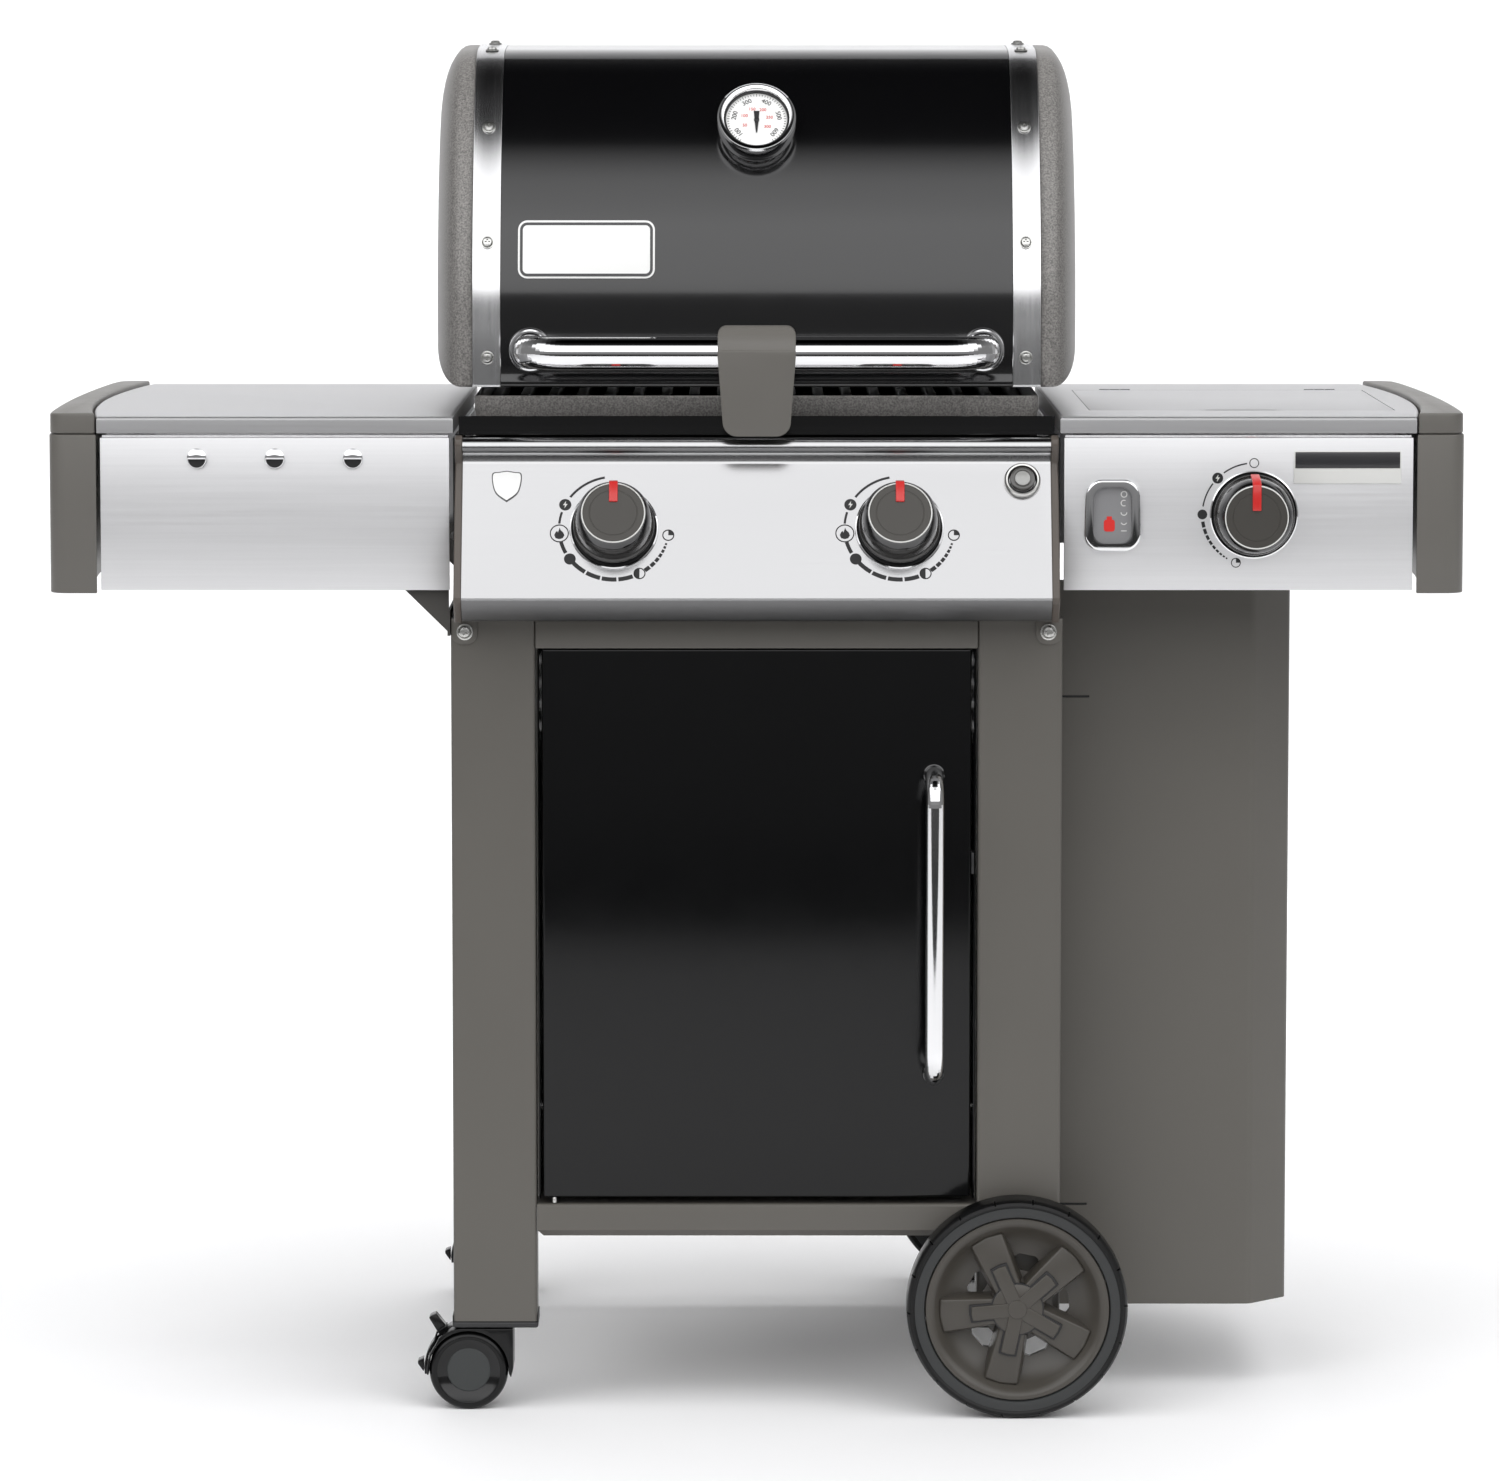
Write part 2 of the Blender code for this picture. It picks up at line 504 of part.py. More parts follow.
def build_right_shelf():
    top, cap, apron = build_shelf("right", 1)
    hatch_low, hatch_high = (0.3080, FRONT_Y + 0.103), (0.5920, FRONT_Y + 0.453)
    bowl_floor = 0.885
    add(top, block((hatch_low[0] - SHEET, hatch_low[1] - SHEET, bowl_floor),
                   (hatch_high[0] + SHEET, hatch_high[1] + SHEET, SHELF_TOP - 0.001)))
    cut(top, block((*hatch_low, bowl_floor + SHEET), (*hatch_high, SHELF_TOP + 0.02)))
    x, z = SIDE_KNOB
    cut(apron, rod((x, FRONT_Y - 0.01, z), (0, 1, 0), 0.006, 0.02))

    notch_low, notch_high, notch_deep = 0.409, 0.489, 0.0105
    low, high = (hatch_low[0] + GAP, hatch_low[1] + GAP), (hatch_high[0] - GAP, hatch_high[1] - GAP)
    plate = [low, (notch_low, low[1]), (notch_low + 0.008, low[1] + notch_deep),
             (notch_high - 0.008, low[1] + notch_deep), (notch_high, low[1]), (high[0], low[1]),
             high, (low[0], high[1])]
    hatch = piece("side_burner_lid", prism(plate, "z", 0.9150, SHELF_TOP), "stainless")
    cut(hatch, block((low[0] + SHEET, low[1] + notch_deep + 0.004, 0.90),
                     (high[0] - SHEET, high[1] - SHEET, SHELF_TOP - SHEET)))

    centre = (x, FRONT_Y + 0.278)
    head = [(0, bowl_floor + SHEET + GAP), (0.026, bowl_floor + SHEET + GAP), (0.026, 0.8930),
            (0.034, 0.8950), (0.034, 0.8990), (0.026, 0.9010), (0, 0.9010)]
    piece("side_burner_head", turned(head, (*centre, 0.0), (0, 0, 1), 20), "brass")
    ring = [(0.062, 0.9030), (0.070, 0.9030), (0.070, 0.9090), (0.062, 0.9090)]
    trivet = piece("side_burner_grate", turned(ring, (*centre, 0.0), (0, 0, 1), 24), "cast_iron")
    reach, foot = 0.100, 0.005
    for dx, dy in ((1, 0), (0, 1)):
        arm = (reach if dx else 0.003, reach if dy else 0.003)
        add(trivet, block((centre[0] - arm[0], centre[1] - arm[1], 0.9045),
                          (centre[0] + arm[0], centre[1] + arm[1], 0.9115)))
        for end in (-1, 1):
            px, py = centre[0] + end * dx * (reach - foot), centre[1] + end * dy * (reach - foot)
            add(trivet, block((px - foot, py - foot, bowl_floor + SHEET + GAP),
                              (px + foot, py + foot, 0.9100)))

    frame = rounded(0.2992, 0.8000, 0.3502, 0.8660, 0.018)
    gauge = piece("tank_gauge", prism(frame, "y", FRONT_Y - 0.0090, FRONT_Y - GAP), "chrome")
    cut(gauge, prism(rounded(0.3072, 0.8075, 0.3422, 0.8585, 0.012), "y",
                     FRONT_Y - 0.0200, FRONT_Y - 0.0060))


# ---------------------------------------------------------------- rolling gear
def build_wheels():
    start, end = FRONT_WHEEL_Y + 0.006, REAR_WHEEL_Y + WHEEL_WIDTH - 0.006
    piece("wheel_axle", rod((WHEEL_X, start, WHEEL_R), (0, 1, 0), AXLE_R, end - start, 12), "galvanised")
    rim = 0.0850
    for node, y in (("front", FRONT_WHEEL_Y), ("rear", REAR_WHEEL_Y)):
        centre = (WHEEL_X, y, WHEEL_R)
        w = WHEEL_WIDTH
        tread = [(rim, 0.002), (0.0880, 0), (0.0960, 0), (WHEEL_R, 0.006), (WHEEL_R, w - 0.006),
                 (0.0960, w), (0.0880, w), (rim, w - 0.002)]
        piece(node + "_tyre", turned(tread, centre, (0, 1, 0), 40), "tread")
        bore = AXLE_R + GAP
        dish = [(bore, 0.004), (0.022, 0.004), (0.030, 0.012), (0.078, 0.008), (0.081, 0.003),
                (rim - GAP, 0.003), (rim - GAP, w - 0.003), (0.081, w - 0.003), (0.078, w - 0.012),
                (0.030, w - 0.014), (0.022, w - 0.004), (bore, w - 0.004)]
        hub = piece(node + "_wheel_hub", turned(dish, centre, (0, 1, 0), 30), "taupe")
        for k in range(5):
            mid = math.radians(42 + 36 + 72 * k)
            window = []
            for r, spread in ((0.036, -16), (0.036, 16), (0.070, 22), (0.074, 0), (0.070, -22)):
                a = mid + math.radians(spread)
                window.append((WHEEL_X + r * math.cos(a), WHEEL_R + r * math.sin(a)))
            cut(hub, prism(window, "y", y - 0.01, y + w + 0.01))


def build_casters():
    for node, leg_y in (("front", FRONT_LEG_Y), ("rear", REAR_LEG_Y)):
        y = leg_y + LEG_DEPTH / 2
        hub_x = CASTER_X - CASTER_TRAIL
        spool = [(0, -0.0250), (0.0300, -0.0250), (CASTER_R, -0.0220), (CASTER_R, -0.0100),
                 (0.0310, -0.0080), (0.0070, -0.0080), (0.0070, 0.0080), (0.0310, 0.0080),
                 (CASTER_R, 0.0100), (CASTER_R, 0.0220), (0.0300, 0.0250), (0, 0.0250)]
        piece(node + "_caster_wheel", turned(spool, (hub_x, y, CASTER_R), (0, 1, 0), 20), "black_plastic")

        blade = [(hub_x - 0.012, CASTER_R - 0.008), (hub_x + 0.012, CASTER_R - 0.008),
                 (CASTER_X + 0.014, 0.0600), (CASTER_X + 0.014, 0.0752), (hub_x - 0.020, 0.0752),
                 (hub_x - 0.034, 0.0600)]
        fork = piece(node + "_caster_fork", prism(blade, "y", y - 0.006, y + 0.006), "black_plastic")
        add(fork, rod((CASTER_X, y, 0.0738), (0, 0, 1), 0.018, LEG_BOTTOM - 0.0010 - 0.0738, 20))
        add(fork, rod((CASTER_X, y, 0.0700), (0, 0, 1), 0.005, 0.035, 10))
        hood = []
        for radius, order in ((0.0425, 1), (0.0385, -1)):
            angles = [math.radians(105 + 80 * i / 8) for i in range(9)][::order]
            hood += [(hub_x + radius * math.cos(a), min(CASTER_R + radius * math.sin(a), 0.0755))
                     for a in angles]
        add(fork, prism(hood, "y", y - 0.0245, y + 0.0245))
        cut(fork, rod((hub_x, y - 0.01, CASTER_R), (0, 1, 0), 0.0074, 0.02))

        rim = [(hub_x + 0.0470 * math.cos(a), CASTER_R + 0.0470 * math.sin(a))
               for a in [math.radians(178 - 24 * i / 3) for i in range(4)]]
        pedal = rim + [(-0.3012, 0.0624), (-0.2975, 0.0705), (-0.3060, 0.0835), (-0.3095, 0.0815),
                       (-0.3085, 0.0680), (-0.3135, 0.0540), (-0.3165, 0.0370)]
        piece(node + "_brake_pedal", prism(pedal, "y", y - 0.011, y + 0.011), "black_plastic")


build_legs()
build_cart()
build_door()
build_firebox()
build_burners()
build_panel()
for knob_name, knob_x in (("left", -KNOB_X), ("right", KNOB_X)):
    build_knob(knob_name, (knob_x, panel_face_y(KNOB_Z), KNOB_Z), OUT_OF_PANEL)
build_knob("side_burner", (SIDE_KNOB[0], FRONT_Y, SIDE_KNOB[1]), OUT_OF_APRON)
build_valves()
build_lid()
build_lid_fittings()
build_left_shelf()
build_right_shelf()
build_wheels()
build_casters()
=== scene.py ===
"""Gas barbecue grill on a cart: the finished look, piece by piece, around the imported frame."""

import json
import math

import bmesh
import bpy
from mathutils import Matrix, Vector


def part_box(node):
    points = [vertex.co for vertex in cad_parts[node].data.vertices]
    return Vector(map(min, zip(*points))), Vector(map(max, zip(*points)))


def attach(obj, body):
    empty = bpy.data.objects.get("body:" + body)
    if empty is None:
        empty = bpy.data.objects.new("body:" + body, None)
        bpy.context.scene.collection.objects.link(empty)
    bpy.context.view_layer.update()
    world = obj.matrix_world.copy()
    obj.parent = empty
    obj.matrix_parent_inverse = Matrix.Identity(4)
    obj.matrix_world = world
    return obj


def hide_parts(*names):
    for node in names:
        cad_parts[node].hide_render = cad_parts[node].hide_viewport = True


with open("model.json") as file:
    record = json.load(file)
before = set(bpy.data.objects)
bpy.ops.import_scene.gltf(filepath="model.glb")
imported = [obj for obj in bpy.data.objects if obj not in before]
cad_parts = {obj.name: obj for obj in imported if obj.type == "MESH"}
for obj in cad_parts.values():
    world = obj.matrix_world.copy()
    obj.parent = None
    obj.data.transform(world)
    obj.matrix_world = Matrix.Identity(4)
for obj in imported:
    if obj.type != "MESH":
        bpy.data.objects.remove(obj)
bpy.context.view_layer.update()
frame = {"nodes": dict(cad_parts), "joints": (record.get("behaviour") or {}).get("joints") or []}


# ------------------------------------------------------------------ camera, floor and light
# A long lens looks six degrees down from lid height. The floor is pale and sweeps up behind into a
# pale backdrop. A large soft panel lights the grill from above and another lights the backdrop.
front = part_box("left_apron")[0][1]          # the front plane of the two side shelves

camera_data = bpy.data.cameras.new("camera")
camera_data.lens = 164.4
camera_data.clip_end = 60
camera = bpy.data.objects.new("camera", camera_data)
bpy.context.collection.objects.link(camera)
camera.location = (-0.0061, front - 6.24, 1.2817)
camera.rotation_euler = (math.radians(84.0), 0, 0)
bpy.context.scene.camera = camera
bpy.context.scene.view_settings.view_transform = "Standard"


def polar(radius, degrees):
    """The two coordinates of a point at a distance and an angle."""
    return radius * math.cos(math.radians(degrees)), radius * math.sin(math.radians(degrees))


def verts_in(made):
    """The vertices among what an operator made."""
    return [v for v in made if isinstance(v, bmesh.types.BMVert)]


stage_half, stage_near, stage_depth, curve_step, backdrop_rise = 9, -3.3, 9.3, 0.8, 9
stage_bm = bmesh.new()
near_edge = [stage_bm.verts.new((x, stage_near, 0)) for x in (-stage_half, stage_half)]
swept = [stage_bm.edges.new(near_edge)]
curve = [(0, *polar(curve_step, degrees)) for degrees in range(5, 90, 10)]
for step in [(0, stage_depth, 0)] + curve + [(0, 0, backdrop_rise)]:
    made = bmesh.ops.extrude_edge_only(stage_bm, edges=swept)["geom"]
    bmesh.ops.translate(stage_bm, vec=step, verts=verts_in(made))
    swept = [e for e in made if isinstance(e, bmesh.types.BMEdge)]
stage_mesh = bpy.data.meshes.new("studio_floor")
stage_bm.to_mesh(stage_mesh)
stage_bm.free()
stage_mesh.shade_smooth()
studio_floor = bpy.data.objects.new("studio_floor", stage_mesh)
bpy.context.collection.objects.link(studio_floor)
floor_paint = bpy.data.materials.new("floor_paint")
floor_paint.use_nodes = True
floor_shader = floor_paint.node_tree.nodes["Principled BSDF"]
floor_shader.inputs["Base Color"].default_value = (0.94, 0.94, 0.945, 1)
floor_shader.inputs["Roughness"].default_value = 0.6
stage_mesh.materials.append(floor_paint)


def ranged(tree, value, low, high):
    """A socket mapped from low and high to 0 and 1."""
    node = tree.nodes.new("ShaderNodeMapRange")
    node.inputs["From Min"].default_value = low
    node.inputs["From Max"].default_value = high
    tree.links.new(value, node.inputs["Value"])
    return node.outputs["Result"]


def blended(tree, factor, first, second):
    """Two colours mixed by a socket; each is a socket or four numbers."""
    node = tree.nodes.new("ShaderNodeMixRGB")
    for value, socket in zip((factor, first, second), node.inputs):
        if isinstance(value, tuple):
            socket.default_value = value
        else:
            tree.links.new(value, socket)
    return node.outputs["Color"]


# The sky is what the gloss reflects: bright from below the horizon to well above it in front, dull
# behind, dark at both sides. The camera sees a flat white instead.
world = bpy.data.worlds.new("studio")
world.use_nodes = True
bpy.context.scene.world = world
sky = world.node_tree
sky_parts = sky.nodes.new("ShaderNodeSeparateXYZ")
sky.links.new(sky.nodes.new("ShaderNodeTexCoord").outputs["Generated"], sky_parts.inputs["Vector"])
sky_height = ranged(sky, sky_parts.outputs["Z"], -1.0, 1.0)
front_and_back = []
for stops in (((0.0, 0.01), (0.435, 0.015), (0.480, 0.10), (0.606, 0.13), (0.616, 0.92),
               (0.80, 1.0), (0.88, 0.80), (0.935, 0.008), (1.0, 0.0)),
              ((0.0, 0.20), (0.50, 0.34), (0.72, 0.10), (0.93, 0.03), (0.99, 0.0))):
    ramp = sky.nodes.new("ShaderNodeValToRGB")
    for stop, (height, grey) in enumerate(stops):
        if stop > 1:
            ramp.color_ramp.elements.new(height)
        ramp.color_ramp.elements[stop].position = height
        ramp.color_ramp.elements[stop].color = (grey, grey, grey * 1.01, 1)
    sky.links.new(sky_height, ramp.inputs["Fac"])
    front_and_back.append(ramp.outputs["Color"])
sky_colour = blended(sky, ranged(sky, sky_parts.outputs["Y"], -0.05, 0.10), *front_and_back)
sky_aside = sky.nodes.new("ShaderNodeMath")
sky_aside.operation = "ABSOLUTE"
sky.links.new(sky_parts.outputs["X"], sky_aside.inputs[0])
sky_edge = ranged(sky, sky_aside.outputs["Value"], 0.76, 0.90)
sky_colour = blended(sky, sky_edge, sky_colour, (0.10, 0.10, 0.10, 1))
seen_directly = sky.nodes.new("ShaderNodeLightPath").outputs["Is Camera Ray"]
sky_colour = blended(sky, seen_directly, sky_colour, (0.5, 0.5, 0.5, 1))
sky.links.new(sky_colour, sky.nodes["Background"].inputs["Color"])
sky.nodes["Background"].inputs["Strength"].default_value = 2.1

for name, place, target, size, power in (
        ("top_panel", (0.0, -1.0, 4.6), (0, -0.3, 0.2), (6.0, 5.0), 165),
        ("backdrop_panel", (0.0, 2.6, 5.0), (0, 6.5, 0.8), (7.0, 2.0), 190)):
    lamp = bpy.data.lights.new(name, "AREA")
    lamp.shape = "RECTANGLE"
    lamp.size, lamp.size_y = size
    lamp.energy = power
    holder = bpy.data.objects.new(name, lamp)
    bpy.context.collection.objects.link(holder)
    holder.visible_glossy = False
    holder.location = place
    holder.rotation_euler = (Vector(target) - Vector(place)).to_track_quat("-Z", "Y").to_euler()


# ------------------------------------------------------------------ lid skin
# The lid is a pressed sheet of steel with a deep gloss black enamel, rolled over at its lower
# edges. Its side view is upright at the foot, leans back past the thermometer and is flat on top.
def smooth_line(points, steps):
    """A curve through the points, with its ends kept."""
    padded = [points[0]] + list(points) + [points[-1]]
    line = []
    for p0, p1, p2, p3 in zip(padded, padded[1:], padded[2:], padded[3:]):
        for i in range(steps):
            t = i / steps
            line.append(tuple(
                0.5 * (2 * b + (c - a) * t + (2 * a - 5 * b + 4 * c - d) * t * t
                       + (3 * b - a - 3 * c + d) * t ** 3)
                for a, b, c, d in zip(p0, p1, p2, p3)))
    return line + [tuple(points[-1])]


def beside(line, distance):
    """A 2-D line moved sideways, to its right."""
    shifted = []
    for i, point in enumerate(line):
        before, after = line[max(i - 1, 0)], line[min(i + 1, len(line) - 1)]
        along = Vector((after[0] - before[0], after[1] - before[1])).normalized()
        shifted.append((point[0] + along.y * distance, point[1] - along.x * distance))
    return shifted


def drawn_out(outline, axis, low, high):
    """A closed outline extruded along X (its points are y, z), Y (x, z) or Z (x, y)."""
    spot = {"x": lambda a, b, t: (t, a, b),
            "y": lambda a, b, t: (a, t, b),
            "z": lambda a, b, t: (a, b, t)}[axis]
    bm = bmesh.new()
    face = bm.faces.new([bm.verts.new(spot(a, b, low)) for a, b in outline])
    made = bmesh.ops.extrude_face_region(bm, geom=[face])["geom"]
    bmesh.ops.translate(bm, vec=Vector(spot(0, 0, high)) - Vector(spot(0, 0, low)),
                        verts=verts_in(made))
    bmesh.ops.recalc_face_normals(bm, faces=bm.faces)
    return bm


def soften(bm, width, segments=2, least=30):
    """Round every edge that turns by more than an angle."""
    bmesh.ops.remove_doubles(bm, verts=bm.verts, dist=1e-6)
    bmesh.ops.recalc_face_normals(bm, faces=bm.faces)
    corners = [e for e in bm.edges
               if len(e.link_faces) == 2 and e.calc_face_angle() > math.radians(least)]
    bmesh.ops.bevel(bm, geom=corners, offset=width, segments=segments, profile=0.5,
                    affect="EDGES", material=-1, clamp_overlap=True)
    return bm


def fit(bm, name, material, body, slot, stands_for=(), sharp=35, second=None, where=None):
    """Make a shape a finished piece on a body, smooth except where it turns sharply.

    Faces for which where(face) is true take the second material."""
    bmesh.ops.remove_doubles(bm, verts=bm.verts, dist=1e-6)
    mesh = bpy.data.meshes.new(name)
    bm.to_mesh(mesh)
    bm.free()
    mesh.shade_smooth()
    mesh.set_sharp_from_angle(angle=math.radians(sharp))
    mesh.materials.append(material)
    if second:
        mesh.materials.append(second)
        for face in mesh.polygons:
            face.material_index = 1 if where(face) else 0
    piece = bpy.data.objects.new(name, mesh)
    bpy.context.collection.objects.link(piece)
    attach(piece, body)
    if stands_for:
        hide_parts(*stands_for)
    return piece


def paint(name, colour, roughness, metallic=0.0):
    """A material with its plain values set; its pattern is wired in by the caller."""
    material = bpy.data.materials.new(name)
    material.use_nodes = True
    shader = material.node_tree.nodes["Principled BSDF"]
    shader.inputs["Base Color"].default_value = (*colour, 1)
    shader.inputs["Roughness"].default_value = roughness
    shader.inputs["Metallic"].default_value = metallic
    return material, shader


def set_shader(material, label, value):
    """Set one plain value of a material."""
    material.node_tree.nodes["Principled BSDF"].inputs[label].default_value = value


def new_effect(name, inputs, outputs):
    """An empty shader node group with named sockets, and its object coordinates."""
    effect = bpy.data.node_groups.new(name, "ShaderNodeTree")
    for label, kind, value in inputs:
        socket = effect.interface.new_socket(label, in_out="INPUT", socket_type=kind)
        socket.default_value = value
    for label, kind in outputs:
        effect.interface.new_socket(label, in_out="OUTPUT", socket_type=kind)
    start, end = effect.nodes.new("NodeGroupInput"), effect.nodes.new("NodeGroupOutput")
    spot = effect.nodes.new("ShaderNodeTexCoord").outputs["Object"]
    return effect, start.outputs, end.inputs, spot


def noise(effect, spot, scale, detail=2.0):
    """A noise texture read at a place; scale is a number or a socket."""
    texture = effect.nodes.new("ShaderNodeTexNoise")
    texture.inputs["Detail"].default_value = detail
    effect.links.new(spot, texture.inputs["Vector"])
    if isinstance(scale, (int, float)):
        texture.inputs["Scale"].default_value = scale
    else:
        effect.links.new(scale, texture.inputs["Scale"])
    return texture.outputs["Fac"]


def spread(effect, value, centre, swing):
    """Map a 0 to 1 pattern to centre plus or minus half of swing; both may be sockets."""
    shift = effect.nodes.new("ShaderNodeMath")
    shift.operation = "SUBTRACT"
    shift.inputs[1].default_value = 0.5
    effect.links.new(value, shift.inputs[0])
    total = effect.nodes.new("ShaderNodeMath")
    total.operation = "MULTIPLY_ADD"
    total.use_clamp = True
    effect.links.new(shift.outputs[0], total.inputs[0])
    for socket, given in ((total.inputs[1], swing), (total.inputs[2], centre)):
        if isinstance(given, (int, float)):
            socket.default_value = given
        else:
            effect.links.new(given, socket)
    return total.outputs[0]


def tinted(effect, colour, factor, amount):
    """A colour darkened and lightened by a 0 to 1 pattern."""
    level = spread(effect, factor, 1.0, amount)
    level.node.use_clamp = False
    scaled = effect.nodes.new("ShaderNodeVectorMath")
    scaled.operation = "SCALE"
    effect.links.new(colour, scaled.inputs[0])
    effect.links.new(level, scaled.inputs["Scale"])
    return scaled.outputs["Vector"]


# Fine grain: the orange peel and slight cloudiness of enamel, powder coat and moulded plastic.
fine_grain, grain_in, grain_out, grain_spot = new_effect(
    "fine_grain",
    [("Colour", "NodeSocketColor", (0.5, 0.5, 0.5, 1)), ("Roughness", "NodeSocketFloat", 0.4),
     ("Scale", "NodeSocketFloat", 900.0), ("Cloud", "NodeSocketFloat", 0.1),
     ("Smear", "NodeSocketFloat", 0.1)],
    [("Colour", "NodeSocketColor"), ("Roughness", "NodeSocketFloat"), ("Height", "NodeSocketFloat")])
cloud = noise(fine_grain, grain_spot, 7.0, 3.0)
fine_grain.links.new(tinted(fine_grain, grain_in["Colour"], cloud, grain_in["Cloud"]),
                     grain_out["Colour"])
smear = noise(fine_grain, grain_spot, 23.0, 4.0)
fine_grain.links.new(spread(fine_grain, smear, grain_in["Roughness"], grain_in["Smear"]),
                     grain_out["Roughness"])
fine_grain.links.new(noise(fine_grain, grain_spot, grain_in["Scale"]), grain_out["Height"])


def with_effect(material, shader, effect, values, depth):
    """Wire an effect group's colour, roughness and height into a material's shader."""
    tree = material.node_tree
    group = tree.nodes.new("ShaderNodeGroup")
    group.node_tree = effect
    for label, value in values.items():
        group.inputs[label].default_value = value
    tree.links.new(group.outputs["Colour"], shader.inputs["Base Color"])
    tree.links.new(group.outputs["Roughness"], shader.inputs["Roughness"])
    bump = tree.nodes.new("ShaderNodeBump")
    bump.inputs["Strength"].default_value = 0.35
    bump.inputs["Distance"].default_value = depth
    tree.links.new(group.outputs["Height"], bump.inputs["Height"])
    tree.links.new(bump.outputs["Normal"], shader.inputs["Normal"])
    return material


def grained(name, colour, roughness, scale, depth, cloud=0.12, smear=0.12, coat=0.0):
    material, shader = paint(name, colour, roughness)
    shader.inputs["Coat Weight"].default_value = coat
    shader.inputs["Coat Roughness"].default_value = 0.04
    return with_effect(material, shader, fine_grain,
                       {"Colour": (*colour, 1), "Roughness": roughness, "Scale": scale,
                        "Cloud": cloud, "Smear": smear}, depth)


black_enamel = grained("black_enamel", (0.0022, 0.0022, 0.0025), 0.14, 260.0, 0.00003, 0.2, 0.05, 0.3)
set_shader(black_enamel, "Specular IOR Level", 0.60)

skin_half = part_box("lid_shell")[1][0]
lid_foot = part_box("lid_shell")[0][2]
lid_points = [(0.0600, lid_foot), (0.0600, 1.0000), (0.0655, 1.0500), (0.0870, 1.1170),
              (0.1270, 1.1900), (0.1840, 1.2450), (0.2600, 1.2568), (0.3500, 1.2574),
              (0.4500, 1.2450), (0.5300, 1.1950), (0.5760, 1.1050), (0.5970, 1.0200),
              (0.6000, lid_foot)]
lid_line = [(front + y, z) for y, z in smooth_line(lid_points, 9)]
hem = [(front + y, lid_foot + rise) for y, rise in (
    (0.0620, 0.0005), (0.0590, 0), (0.0580, 0.002), (0.0580, 0.006), (0.0592, 0.008))]
skin_outside = hem + [p for p in lid_line if p[1] > lid_foot + 0.010]
fit(drawn_out(skin_outside + beside(lid_line, 0.0025)[::-1], "x", -skin_half, skin_half), "lid_skin",
    black_enamel, "lid", "black_enamel", ["lid_shell"])


# ------------------------------------------------------------------ lid trim bands and screws
# A bright stainless band covers each joint between the skin and its end casting. It is held by
# round-headed screws that sit in shallow dimples and follow the band over the top of the lid.
brushed_grain, brush_in, brush_out, brush_spot = new_effect(
    "brushed_grain",
    [("Colour", "NodeSocketColor", (0.6, 0.6, 0.6, 1)), ("Roughness", "NodeSocketFloat", 0.3),
     ("Stretch", "NodeSocketVector", (6.0, 700.0, 700.0)), ("Smear", "NodeSocketFloat", 0.2)],
    [("Colour", "NodeSocketColor"), ("Roughness", "NodeSocketFloat"), ("Height", "NodeSocketFloat")])
stretched = brushed_grain.nodes.new("ShaderNodeMapping")
brushed_grain.links.new(brush_spot, stretched.inputs["Vector"])
brushed_grain.links.new(brush_in["Stretch"], stretched.inputs["Scale"])
streak = noise(brushed_grain, stretched.outputs["Vector"], 1.0, 4.0)
brushed_grain.links.new(tinted(brushed_grain, brush_in["Colour"], streak, 0.10), brush_out["Colour"])
brushed_grain.links.new(spread(brushed_grain, streak, brush_in["Roughness"], brush_in["Smear"]),
                        brush_out["Roughness"])
brushed_grain.links.new(streak, brush_out["Height"])


def brushed(name, grey, roughness, stretch, smear=0.2, depth=0.00002):
    colour = (grey, grey, grey * 1.01)
    material, shader = paint(name, colour, roughness, 1.0)
    return with_effect(material, shader, brushed_grain,
                       {"Colour": (*colour, 1), "Roughness": roughness, "Stretch": stretch,
                        "Smear": smear}, depth)


bright_band = brushed("bright_band", 0.72, 0.22, (900.0, 14.0, 14.0), 0.12)
zinc_plate = grained("zinc_plate", (0.62, 0.62, 0.60), 0.28, 1500.0, 0.00003)
set_shader(zinc_plate, "Metallic", 1.0)


def turned(profile, steps=32):
    """Spin a (radius, height) profile about Z; one that ends off the axis is joined up."""
    bm = bmesh.new()
    verts = [bm.verts.new((r, 0, s)) for r, s in profile]
    edges = [bm.edges.new(pair) for pair in zip(verts, verts[1:])]
    if profile[0][0] > 0 and profile[-1][0] > 0:
        edges.append(bm.edges.new((verts[-1], verts[0])))
    bmesh.ops.spin(bm, geom=verts + edges, cent=(0, 0, 0), axis=(0, 0, 1),
                   angle=math.tau, steps=steps, use_merge=True)
    bmesh.ops.remove_doubles(bm, verts=bm.verts, dist=1e-7)
    bmesh.ops.recalc_face_normals(bm, faces=bm.faces)
    return bm


def set_at(bm, centre, direction=(0, 0, 1), up=(0, 0, 1)):
    """Move a shape built about Z so that Z points along direction and Y towards up."""
    out = Vector(direction).normalized()
    side = Vector(up).cross(out)
    side = side.normalized() if side.length > 1e-6 else Vector((1, 0, 0))
    turn = Matrix((side, out.cross(side), out)).transposed().to_4x4()
    bmesh.ops.transform(bm, matrix=Matrix.Translation(centre) @ turn, verts=bm.verts)
    return bm


def fit_turned(profile, steps, centre, out, *what, **more):
    """A turned shape set at a place as a finished piece; the rest is what fit takes."""
    fit(set_at(turned(profile, steps), centre, out), *what, **more)


def together(*shapes):
    """Several shapes as one."""
    whole = bmesh.new()
    for shape in shapes:
        part = bpy.data.meshes.new("part")
        shape.to_mesh(part)
        shape.free()
        whole.from_mesh(part)
        bpy.data.meshes.remove(part)
    return whole


